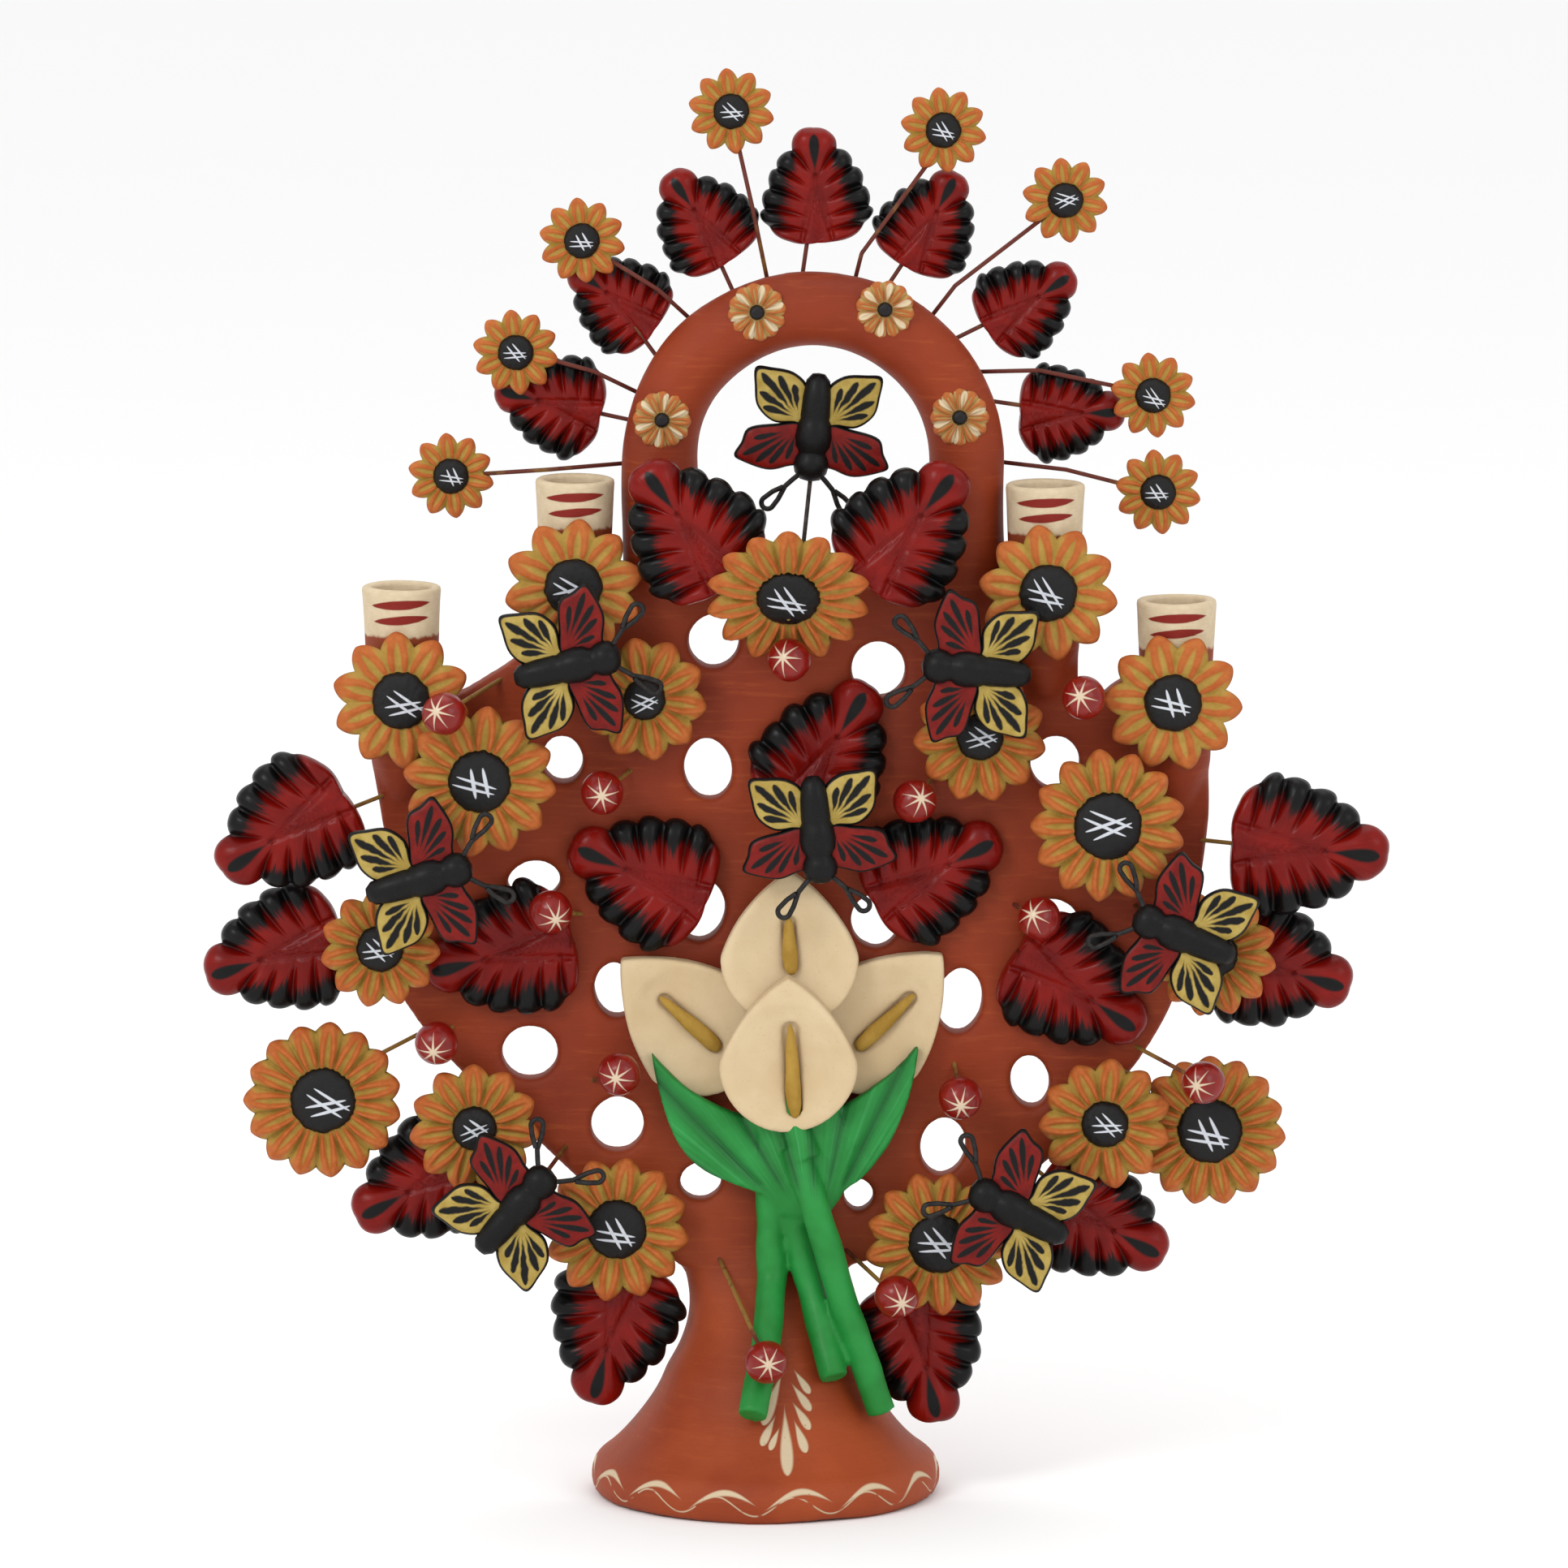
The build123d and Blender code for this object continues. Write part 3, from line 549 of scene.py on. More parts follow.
def sunflower_tree():
    tree, size, result = opened_tree("sunflower", (
        ("Petals", "NodeSocketInt", 12),
        ("Radius", "NodeSocketFloat", 28.0),
        ("Disc", "NodeSocketFloat", 12.0),
        ("Valley", "NodeSocketFloat", 0.78),
        ("Thickness", "NodeSocketFloat", 4.0),
        ("Ridge", "NodeSocketFloat", 2.3),
        ("Proud", "NodeSocketFloat", 3.0),
        ("Knobs", "NodeSocketFloat", 0.7),
        ("Seed", "NodeSocketFloat", 0.0),
        ("Paint", "NodeSocketMaterial", None),
    ))
    flow = Flow(tree)
    spot = flow.node("GeometryNodeInputPosition")
    u, v = spot.part("X") + 0.5, spot.part("Y") + 0.5
    # petals: a sheet bent round the middle, out over the top and back underneath
    turn = u * size["Petals"]
    petal = turn.sum("FRACT", turn)
    aside = (petal * 2.0 - 1.0).size()
    number = (turn + 0.0001).sum("FLOOR", turn)
    luck = flow.joined(number, size["Seed"], 0.0).grain(5.3, 0.0)
    angle = u * (2 * pi)
    out_share = (v / (1.0 - BACK_SHARE)).least(1.0)
    back_share = ((v - (1.0 - BACK_SHARE)) / BACK_SHARE).most(0.0)
    tip = 1.0 - aside ** 1.55
    reach = size["Radius"] * (size["Valley"] + (1.0 - size["Valley"]) * tip + (luck - 0.5) * 0.05 * tip)
    radius = reach * (out_share - back_share)
    inner = size["Disc"] * 0.85
    along = ((radius - inner) / (reach - inner)).least(1.0).most(0.0)
    line = 0.6 * (1.0 - along ** 2.6)
    ridge = flow.sum("EXPONENT", ((aside - line) / 0.29) ** 2.0 * -1.0) * along.rise(0.0, 0.2)
    gap = aside.rise(0.78, 1.0) * along.rise(0.05, 0.5)
    swell = flow.sum("SINE", along * pi)
    lip = (1.0 - out_share ** 14.0).most(0.0) ** 0.5
    lump = flow.joined(radius * flow.sum("COSINE", angle), radius * flow.sum("SINE", angle), size["Seed"])
    dint = (lump.grain(0.22, 2.0) - 0.5) * 1.1
    top = size["Thickness"] * 0.62 + size["Ridge"] * (ridge + 0.5 * swell - gap * 0.9) + dint * along
    edge = size["Thickness"] * 0.3
    height = (edge + (top - edge) * lip) * (back_share * 60.0).rise(1.0, 0.0)
    sheet = {"Size X": 1.0, "Size Y": 1.0, "Vertices Y": PETAL_ROWS}
    sheet["Vertices X"] = size["Petals"] * PETAL_STEPS + 1.0
    petals = flow.node("GeometryNodeMeshGrid", None, sheet)
    colour = ridge.most(tip * along.rise(0.55, 1.0) * 0.9) * back_share.rise(0.3, 0.0)
    marked = flow.node(
        "GeometryNodeStoreNamedAttribute", {"data_type": "FLOAT_VECTOR", "domain": "POINT"},
        {"Geometry": petals, "Name": "petal", "Value": flow.joined(colour, 0.0, along)})
    bent = flow.node("GeometryNodeSetPosition", None, {"Geometry": marked, "Position": flow.joined(
        radius * flow.sum("COSINE", angle), radius * flow.sum("SINE", angle), height)})
    # button: a low dome with a knobbly rim, sunk a little into the petals
    over = (v / 0.8).least(1.0)
    under = ((v - 0.8) / 0.2).most(0.0)
    spread = size["Disc"] * (over - under)
    ripple = flow.joined(flow.sum("COSINE", angle), flow.sum("SINE", angle), size["Seed"]).grain(4.0, 1.0)
    spread = spread * (1.0 + (ripple - 0.5) * 0.16 * over.rise(0.5, 1.0))
    across, ahead = spread * flow.sum("COSINE", angle), spread * flow.sum("SINE", angle)
    knobs = flow.joined(across, ahead, size["Seed"]).grain(0.85, 2.0, 0.6) - 0.5
    worn = 0.55 + 0.45 * over.rise(0.45, 0.8)
    dome = (1.0 - over ** 4.0).most(0.0) ** 0.5
    bulge = (size["Proud"] + size["Thickness"] * 0.35) * dome * under.rise(0.02, 0.0)
    level = size["Thickness"] * 0.5 + bulge + knobs * size["Knobs"] * 2.0 * worn * dome.rise(0.0, 0.3)
    dish = flow.node("GeometryNodeMeshGrid", None, {
        "Size X": 1.0, "Size Y": 1.0, "Vertices X": 65, "Vertices Y": 21})
    dotted = flow.node(
        "GeometryNodeStoreNamedAttribute", {"data_type": "FLOAT_VECTOR", "domain": "POINT"},
        {"Geometry": dish, "Name": "petal", "Value": flow.joined(0.0, 1.0, over)})
    button = flow.node("GeometryNodeSetPosition", None, {
        "Geometry": dotted, "Position": flow.joined(across, ahead, level)})
    both = tree.nodes.new("GeometryNodeJoinGeometry")
    for item in (bent, button):
        closed = flow.node("GeometryNodeMergeByDistance", None, {"Geometry": item, "Distance": 0.01})
        tree.links.new(closed.socket, both.inputs[0])
    whole = flow.node("GeometryNodeRealizeInstances", None, {"Geometry": Flow(tree, both.outputs[0])})
    whole = flow.node("GeometryNodeSetMaterial", None, {"Geometry": whole, "Material": size["Paint"]})
    tree.links.new(whole.socket, result.inputs[0])
    return tree


BUTTON_STROKES = (  # start and end of each white stroke, in shares of the button's radius
    ((-0.64, -0.06), (0.60, 0.04)), ((-0.52, -0.34), (0.70, -0.14)),
    ((-0.54, 0.34), (0.40, -0.48)), ((-0.30, 0.50), (0.66, -0.30)),
)


def sunflower_look(flow):
    kind = flow.own("petal")
    where = flow.own("brush")
    x, y = where.part("X"), where.part("Y")
    ridge, button = kind.part("X"), kind.part("Y")
    cloud = where.grain(0.16, 4.0, 0.65)
    bristle = where.grain(2.4, 3.0, 0.7)
    mustard = cloud.mottled(tone(176, 138, 54), tone(202, 164, 80))
    orange = cloud.mottled(tone(190, 92, 34), tone(208, 118, 54))
    laid = (ridge + (cloud - 0.5) * 1.1 + (bristle - 0.5) * 0.6).rise(0.16, 0.60)
    colour = laid.blend(mustard, orange)
    colour = (bristle.rise(0.6, 0.8) * 0.25).blend(colour, tone(220, 146, 84))
    black = bristle.rise(0.4, 0.75).blend(tone(9, 8, 8), tone(26, 24, 24))
    across, ahead = where.part("Z") * x, where.part("Z") * y
    marks = strongest(dash(across, ahead, start, end, 0.055) for start, end in BUTTON_STROKES)
    marks = marks * (bristle + cloud).rise(0.58, 0.76)
    button_paint = marks.blend(black, tone(228, 232, 240))
    colour = button.blend(colour, button_paint)
    rough = 0.62 - button * 0.3 + (bristle - 0.5) * 0.2
    relief = bristle * 0.00024 + cloud * 0.0004 + marks * button * 0.00012
    return colour, rough, relief


sunflower_paint = painted("sunflower_paint", sunflower_look)
sunflowers = sunflower_tree()
luck = np.random.default_rng(7)


PETAL_SLAB = 4.0  # mm, how thick the petals' slab is


def measured_disc(solid):
    """A CAD flower's directions, seat, outer and button radius, a petal's angle, button's height."""
    axes = upright(solid)
    flat = solid[0] @ axes.T
    back = flat[:, 2].min()
    raised = flat[flat[:, 2] > back + PETAL_SLAB + 0.05]
    middle = (raised[:, :2].max(0) + raised[:, :2].min(0)) / 2
    arms = flat[:, :2] - middle
    reach = np.hypot(arms[:, 0], arms[:, 1])
    brim = reach[(flat[:, 2] > back + PETAL_SLAB - 0.05) & (reach < 0.62 * reach.max())]
    farthest = arms[reach.argmax()]
    proud = flat[:, 2].max() - back - PETAL_SLAB
    tip_angle = np.arctan2(farthest[1], farthest[0])
    return axes, np.array([*middle, back]), reach.max(), brim.max(), tip_angle, proud


def stood(axes, seat):
    """Takes a form in millimetres to its seat, in these directions, in metres."""
    turn = Matrix([[*row, 0] for row in axes.T] + [[0, 0, 0, 1]])
    return Matrix.Scale(0.001, 4) @ turn @ Matrix.Translation(seat)


def flower_piece(name, node, solid, petals, body, valley=0.78, **changes):
    """Grows one flower where its CAD solid is, and fixes it to its body."""
    axes, seat, radius, button, tip_angle, proud = measured_disc(solid)
    sizes = {"Petals": petals, "Radius": radius * 1.02, "Disc": button, "Valley": valley, "Proud": proud}
    sizes.update({"Seed": float(luck.uniform(0, 90)), "Paint": sunflower_paint, **changes})
    mesh = grown(sunflowers, name, sizes)
    mesh.transform(Matrix.Rotation(tip_angle - pi / petals, 4, "Z"))
    spots = spots_of(mesh)
    lean = radians(float(luck.uniform(-22, 22)))
    slip = luck.uniform(-0.1, 0.1, 2) * button
    slant = float(luck.uniform(-0.15, 0.55))
    brushed = spots.copy()
    brushed[:, 1] = spots[:, 0] * sin(lean) + spots[:, 1] * cos(lean) + slip[1]
    brushed[:, 0] = spots[:, 0] * cos(lean) - spots[:, 1] * sin(lean) + slip[0] - slant * brushed[:, 1]
    brushed[:, 2] = 1.0 / button
    tagged(mesh, "brush", brushed)
    mesh.transform(stood(axes, seat))
    mesh.update()
    flower = placed(name, mesh, sunflower_paint)
    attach(flower, body)
    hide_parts(node)


FAN_FLOWERS = {  # how many petals each has
    "top": 14, "upper_left": 10, "upper_right": 11, "large_left": 12, "large_right": 13, "mid_left": 11,
    "mid_right": 12, "round_left": 15, "round_right": 15, "middle_left": 11, "middle_right": 11,
    "lower_left": 12, "lower_right": 13,
}
for place, petals in FAN_FLOWERS.items():
    solid = max(islands(f"sunflower_{place}"), key=lambda s: len(s[0]))
    deep = 0.88 if place.startswith("round") else 0.82
    flower_piece(f"flower_{place}", f"sunflower_{place}", solid, petals, "tree", deep)
for place in ("outer_left", "inner_left", "inner_right", "outer_right"):
    solid = max(islands(f"sunflower_cup_{place}"), key=lambda s: len(s[0]))
    flower_piece(f"flower_cup_{place}", f"sunflower_cup_{place}", solid, 10, "tree", Ridge=1.0)


# ---- wires -----------------------------------------------------------------------------
# Annealed steel wire of 1.6 mm, cemented into holes in the clay. Most got some of the paint
# of what they carry: red-brown near the leaves, mustard near the sunflowers.
def wire_look(flow):
    where = flow.place()
    rust = where.grain(60.0, 3.0, 0.6)
    smear = where.grain(420.0, 3.0, 0.6)
    high_up = (where.part("Z") * 1000.0).rise(330.0, 400.0)
    warm = (rust + high_up * 0.2).rise(0.48, 0.66).blend(tone(150, 112, 50), tone(108, 46, 34))
    colour = (smear.rise(0.55, 0.72) * 0.6).blend(warm, tone(60, 44, 36))
    return colour, 0.42 + smear * 0.25, smear * 0.00008


def dark_wire_look(flow):
    where = flow.place()
    smear = where.grain(420.0, 3.0, 0.6)
    colour = smear.rise(0.35, 0.7).blend(tone(48, 42, 40), tone(92, 82, 76))
    return colour, 0.35 + smear * 0.25, smear * 0.00006


wire_paint = painted("smeared_wire", wire_look)
dark_wire = painted("annealed_wire", dark_wire_look)
stem_wires = nodes["stem_wires"]
for held in stem_wires.material_slots:
    held.material = wire_paint


def wire_piece(name, solid, body, paint):
    """A CAD wire's own shape as a piece of its own."""
    points, corners = solid
    mesh = bpy.data.meshes.new(name)
    mesh.from_pydata((points / 1000).tolist(), [], corners)
    wire = placed(name, mesh, paint)
    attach(wire, body)


for number in range(1, 9):
    node = f"halo_sunflower_{number}"
    solids = islands(node)
    head = max(solids, key=lambda s: np.ptp(s[0], 0).min())
    flower_piece(f"halo_flower_{number}", node, head, 10, f"{node}_body", 0.76, Ridge=1.0, Knobs=0.45)
    for solid in solids:
        if solid is not head:
            wire_piece(f"halo_wire_{number}", solid, f"{node}_body", wire_paint)


# ---- daisies on the arch -----------------------------------------------------------------
# Four little moulded rosettes stuck on the tube with slip: mustard and orange scallops, six
# cream petals brushed over them and a black bead in the middle.
def daisy_look(flow):
    kind = flow.own("petal")
    where = flow.own("brush")
    x, y = where.part("X"), where.part("Y")
    cloud = where.grain(0.5, 4.0, 0.6)
    bristle = where.grain(3.0, 3.0, 0.7)
    colour = (kind.part("X") + (cloud - 0.5)).rise(0.3, 0.6).blend(tone(196, 156, 92), tone(196, 110, 52))
    arms = [Vector((cos(a), sin(a))) for a in (2 * pi * (i + 0.3) / 6 for i in range(6))]
    touches = strongest(stroke(x, y, arm * 2.0, arm * 10.2, 1.45) for arm in arms)
    colour = touches.blend(colour, tone(236, 216, 178))
    colour = kind.part("Y").blend(colour, tone(24, 20, 20))
    rough = 0.6 - kind.part("Y") * 0.35 + (bristle - 0.5) * 0.2
    return colour, rough, bristle * 0.00012 + touches * 0.0003


daisy_paint = painted("daisy_paint", daisy_look)
FACE_ON = np.array([(1.0, 0.0, 0.0), (0.0, 0.0, 1.0), (0.0, -1.0, 0.0)])  # right, up and out
for number, solid in enumerate(islands("arch_daisies"), 1):
    flat = solid[0] @ FACE_ON.T
    front = flat[:, 2].max()
    raised = flat[flat[:, 2] > front - 1.4]
    middle = (raised[:, :2].max(0) + raised[:, :2].min(0)) / 2
    reach = np.hypot(*(flat[:, :2] - middle).T).max()
    mesh = grown(sunflowers, f"daisy_{number}", {
        "Petals": 12, "Radius": float(reach), "Disc": 2.9, "Valley": 0.91, "Proud": 1.6, "Ridge": 0.8,
        "Knobs": 0.1, "Thickness": 4.0, "Seed": float(number), "Paint": daisy_paint})
    mesh.transform(Matrix.Rotation(0.2 * number, 4, "Z"))
    brushed = spots_of(mesh)
    brushed[:, 2] = number * 7.0
    tagged(mesh, "brush", brushed)
    mesh.transform(stood(FACE_ON, (*middle, front - 5.8)))
    daisy = placed(f"daisy_{number}", mesh, daisy_paint)
    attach(daisy, "tree")
    if number == 1:
        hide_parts("arch_daisies")


# ---- leaves ----------------------------------------------------------------------------
# Plump moulded leaves, with five fingers each side of a smooth wedge for the stalk. Dipped in red,
# with black dragged in from the finger tips by a dry brush, then varnished.
LEAF_EDGE = (  # the right half from the tip: degrees, notch, peak of the bulge after it, root of its vein
    (0, (0.0, 0.50), (0.150, 0.452), 0.12),
    (30, (0.195, 0.305), (0.305, 0.255), 0.05),
    (55, (0.325, 0.145), (0.405, 0.10), -0.07),
    (80, (0.405, -0.025), (0.468, -0.085), -0.20),
    (105, (0.455, -0.20), (0.495, -0.27), -0.32),
    (130, (0.42, -0.36), (0.27, -0.485), -0.43),
    (180, (0.0, -0.50), (0.0, -0.50), -0.485),
)
VEIN_BOW = 0.10
STALK_HALF = 0.125  # half width of the smooth wedge that the stalk makes at the leaf's base
STALK_END = 0.06
LEAF_ROUND = 192
LEAF_ROWS = 30
LEAF_BACK = 7


def sealed(mesh, reach):
    """Closes the seam and the poles, and turns the faces outwards."""
    form = bmesh.new()
    form.from_mesh(mesh)
    bmesh.ops.remove_doubles(form, verts=form.verts, dist=reach)
    bmesh.ops.recalc_face_normals(form, faces=form.faces)
    form.to_mesh(mesh)
    form.free()
    return mesh


def leaf_mesh(name, length, width, thick, seed):
    """One leaf in its own frame, tip towards +Y and back on Z = 0, in millimetres."""
    turn = np.linspace(-180, 180, LEAF_ROUND, endpoint=False)
    away, side = np.abs(turn), np.where(turn < 0, -1.0, 1.0)
    stops = np.array([knot[0] for knot in LEAF_EDGE], float)
    notch = np.array([knot[1] for knot in LEAF_EDGE])
    peak = np.array([knot[2] for knot in LEAF_EDGE])
    root = np.interp(away, stops, [knot[3] for knot in LEAF_EDGE])
    lobe = np.clip(np.searchsorted(stops, away, side="right") - 1, 0, len(stops) - 2)
    share = (away - stops[lobe]) / (stops[lobe + 1] - stops[lobe])
    arc = 1 - np.abs(2 * share - 1) ** 2.4
    start, end = notch[lobe], notch[lobe + 1]
    edge_line = start + (end - start) * share[:, None] + arc[:, None] * (peak[lobe] - (start + end) / 2)
    rounds = [(2.2 * cos(radians(t)), 2.2 * sin(radians(t)), seed) for t in turn]
    wobble = np.array([noise.noise(Vector(spot)) for spot in rounds])
    edge_line = edge_line * (1 + 0.04 * wobble[:, None])
    crest = np.where(lobe == 0, 1 - share**2.2, arc)
    crest = np.where(lobe == len(stops) - 2, 1 - (1 - share) ** 8, crest)
    rows, marks, blades = [], [], []
    top_shares = np.linspace(0, 1, LEAF_ROWS) ** 0.8
    levels = [(s, True) for s in top_shares] + [(s, False) for s in np.linspace(0.97, 0, LEAF_BACK)]
    for s, above in levels:
        across = s * edge_line[:, 0]
        along = root + s * (edge_line[:, 1] - root) + VEIN_BOW * s * (1 - s) * np.sin(np.radians(away))
        depth = np.clip((s - 0.12) / 0.55, 0, 1)
        depth = depth * depth * (3 - 2 * depth)
        stalk = STALK_HALF * np.clip((STALK_END - along) / 0.5, 0, 1.1)
        wedge = np.clip((stalk - np.abs(across)) / 0.07, 0, 1) ** 0.7 * (along < STALK_END)
        crease = np.exp(-(((np.abs(across) - stalk) / 0.022) ** 2)) * (along < STALK_END + 0.04) * (1 - s**6)
        groove = (1 - crest) ** 1.7 * depth * (1 - wedge)
        rim = max(0.0, 1 - s**6) ** 0.5
        body = thick * (0.86 + 0.20 * depth * crest - 0.50 * groove + 0.16 * wedge - 0.18 * crease)
        z = np.where(above, thick * 0.22 + (body - thick * 0.22) * rim, 0.0)
        rows.append(np.stack([side * across * width, along * length, z], 1))
        shade = np.full_like(across, s if above else 1.25)
        marks.append(np.stack([turn / 60, shade, crest], 1))
        blades.append(np.stack([side * across, along, np.full_like(across, seed)], 1))
    faces = []
    for r in range(len(rows) - 1):
        for i in range(LEAF_ROUND):
            j = (i + 1) % LEAF_ROUND
            a, b = r * LEAF_ROUND, (r + 1) * LEAF_ROUND
            faces.append((a + i, b + i, b + j, a + j))
    mesh = bpy.data.meshes.new(name)
    mesh.from_pydata(np.concatenate(rows).tolist(), [], faces)
    tagged(mesh, "finger", np.concatenate(marks))
    tagged(mesh, "blade", np.concatenate(blades))
    return sealed(mesh, 0.004)


def leaf_look(flow):
    marks, blade = flow.own("finger"), flow.own("blade")
    turn, out, crest = marks.part("X"), marks.part("Y"), marks.part("Z")
    seed = blade.part("Z")
    away = turn.size() * 60.0
    bristle = flow.joined(turn * 26.0, out * 1.3, seed).grain(1.0, 3.0, 0.65)
    broad = flow.joined(turn * 5.0, out * 1.0, seed + 9.0).grain(1.0, 2.0)
    cloud = flow.joined(blade.part("X") * 4.0, blade.part("Y") * 4.0, seed).grain(1.0, 3.0)
    red = cloud.mottled(tone(118, 8, 3), tone(142, 16, 6))
    red = (bristle.rise(0.5, 0.8) * 0.5).blend(red, tone(150, 26, 12))
    red = ((1.0 - bristle).rise(0.55, 0.8) * 0.45 * out.rise(0.3, 0.6)).blend(red, tone(74, 10, 8))
    # Painted shade: the red is darkened in the grooves between the fingers, more so towards the edge.
    red = ((1.0 - crest) ** 1.8 * out.rise(0.3, 0.7) * 0.6).blend(red, tone(62, 8, 6))
    dragged = out + (bristle - 0.5) * 0.62 + (broad - 0.5) * 0.36 + crest * 0.2
    fingers = away.rise(26.0, 31.0) * (away + (bristle - 0.5) * 12.0).rise(140.0, 128.0)
    black = dragged.rise(0.64, 0.86) * fingers
    drop = stroke(blade.part("X"), blade.part("Y"), (0.0, 0.08), (0.0, 0.45), 0.055)
    black = black.most(drop) * out.rise(1.16, 1.08)
    colour = black.blend(red, bristle.rise(0.5, 0.85).blend(tone(9, 8, 8), tone(24, 21, 21)))
    rough = 0.34 + (bristle - 0.5) * 0.25 + black * 0.04
    relief = bristle * 0.00016 + cloud * 0.0004
    return colour, rough, relief


leaf_paint = painted("red_leaf_paint", leaf_look, 0.08, 0.18, 0.14)
LEAF_TURNS = {  # degrees that each leaf's tip is turned to the left of straight up, left to right
    "leaves_arch": (36, -38),
    "leaf_centre": (-31,),
    "leaves_middle": (66, -62),
    "leaves_far_upper": (124, -95),
    "leaves_far_lower": (108, -106),
    "leaves_inner": (104, -125),
    "leaves_lower": (118, -118),
    "leaves_bottom": (165, -168),
    "halo_leaves": (75, 52, 34, 2, -28, -55, -88),
}


def tipped(axes, degrees_left):
    """The same directions with the top turned to the left by that angle."""
    right, up, out = axes
    a = radians(degrees_left)
    return np.array([right * cos(a) + up * sin(a), up * cos(a) - right * sin(a), out])


for node, turns in LEAF_TURNS.items():
    for number, (solid, turned_left) in enumerate(zip(islands(node), turns), 1):
        axes = tipped(upright(solid), turned_left)
        flat = solid[0] @ axes.T
        low, high = flat.min(0), flat.max(0)
        span = high - low
        name = f"{node}_{number}" if len(turns) > 1 else f"{node}_clay"
        width, length, thick = (float(v) for v in span)
        mesh = leaf_mesh(name, length, width, thick * 1.1, float(luck.uniform(0, 90)))
        seat = np.array([(low[0] + high[0]) / 2, (low[1] + high[1]) / 2, low[2]])
        mesh.transform(stood(axes, seat))
        leaf = placed(name, mesh, leaf_paint)
        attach(leaf, "tree")
        if number == 1:
            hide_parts(node)


# ---- butterflies -----------------------------------------------------------------------
# A rolled black body with a ball head, red fore wings and mustard hind wings pressed on,
# veined with black brush drops. The feelers are thin wire bent back into long loops.
FORE_WING = (
    (3, 12), (9, 15), (16, 16.8), (25.5, 14.4), (28.6, 12.2), (26.4, 7.5), (24, 1.8), (14, -0.6), (3, -1.4),
)
HIND_WING = (
    (3, -2), (8, -1.4), (15.5, -1.4), (21.6, -6.5), (23.2, -14), (23.4, -20.8), (17.5, -21.2), (9, -20.0),
    (3, -14),
)
BODY_PROFILE = (  # height along the body, radius
    (-20.8, 0.0), (-20.4, 2.4), (-18.0, 4.4), (-12.0, 5.3), (-5.0, 5.6), (-3.6, 5.4), (-2.0, 6.2), (3.0, 6.9),
    (6.5, 6.4), (8.4, 5.2), (9.2, 5.0), (11.0, 6.1), (13.5, 6.6), (16.5, 5.9), (18.8, 3.8), (19.8, 0.0),
)
WING_STROKES = (  # start, end, half width: the first five on the fore wing, the rest on the hind
    ((6.5, 2.0), (9.2, 12.0), 1.2), ((7.0, 2.0), (15.2, 14.2), 1.35), ((8.0, 2.0), (20.4, 14.0), 1.4),
    ((9.0, 1.8), (25.4, 11.8), 1.4), ((10.0, 1.6), (22.0, 5.4), 1.25),
    ((6.8, -3.6), (19.4, -6.8), 1.5), ((7.2, -4.2), (21.2, -12.2), 1.65), ((7.0, -4.6), (21.2, -19.2), 1.75),
    ((6.6, -4.8), (14.6, -18.8), 1.75), ((6.2, -5.0), (8.8, -16.0), 1.5),
)
WING_ROUND = 44


def rounded(corners, count):
    """A smooth closed line through the given corners, as count evenly dealt points."""
    corners = np.array(corners, float)
    total = len(corners)
    made = []
    for step in range(count):
        t = step * total / count
        i, f = int(t), t - int(t)
        p0, p1, p2, p3 = (corners[(i + k) % total] for k in (-1, 0, 1, 2))
        made.append(0.5 * (2 * p1 + (p2 - p0) * f + (2 * p0 - 5 * p1 + 4 * p2 - p3) * f**2
                           + (3 * p1 - p0 - 3 * p2 + p3) * f**3))
    return np.array(made)


def pebble(outline, shelf):
    """A closed flat form on the outline: shelf gives (share of the outline, height) rows."""
    middle = outline.mean(0)
    count = len(outline)
    rings = [(middle + (outline - middle) * share, height) for share, height in shelf]
    rows = [np.column_stack([ring, np.full(count, height)]) for ring, height in rings]
    shares = np.concatenate([np.full(count, share) for share, height in shelf])
    faces = []
    for r in range(len(rows) - 1):
        for i in range(count):
            j = (i + 1) % count
            faces.append((r * count + i, r * count + j, (r + 1) * count + j, (r + 1) * count + i))
    return np.concatenate(rows), faces, shares


def butterfly_mesh(name, seed):
    """Body and wings in one mesh, head towards +Y and wings' backs on Z = 0."""
    top = 3.9
    shelf = [(0.0, top + 0.35), (0.45, top + 0.3), (0.75, top + 0.1), (0.9, top - 0.25), (0.97, top - 0.8),
             (1.0, 2.2), (1.0, 1.2), (0.96, 0.3), (0.85, 0.0), (0.0, 0.0)]
    points, faces, kinds = [], [], []
    for side in (1, -1):
        for kind, wing in ((1.0, FORE_WING), (2.0, HIND_WING)):
            outline = rounded([(side * x, y) for x, y in wing], WING_ROUND)
            spots, ring_faces, shares = pebble(outline, shelf)
            lift = np.array([noise.noise(Vector((p[0] / 9, p[1] / 9, seed))) for p in spots]) * 0.5
            spots[:, 2] += lift
            start = sum(len(p) for p in points)
            points.append(spots)
            faces += [tuple(start + c for c in face) for face in ring_faces]
            on_top = np.where(spots[:, 2] > 2.9, shares, 1.4)
            kinds.append(np.column_stack([np.full(len(spots), kind), on_top, np.full(len(spots), seed)]))
    body = turned([(r, y) for y, r in BODY_PROFILE], 28)
    body.verts.index_update()
    start = sum(len(p) for p in points)
    spots = np.array([(v.co.x, v.co.z, v.co.y * 0.92 + 3.0) for v in body.verts])
    points.append(spots)
    faces += [tuple(start + v.index for v in face.verts) for face in body.faces]
    kinds.append(np.column_stack([np.zeros(len(spots)), np.zeros(len(spots)), np.full(len(spots), seed)]))
    body.free()
    mesh = bpy.data.meshes.new(name)
    points = np.concatenate(points)
    mesh.from_pydata(points.tolist(), [], faces)
    tagged(mesh, "wing", np.concatenate(kinds))
    tagged(mesh, "insect", points)
    return sealed(mesh, 0.003)


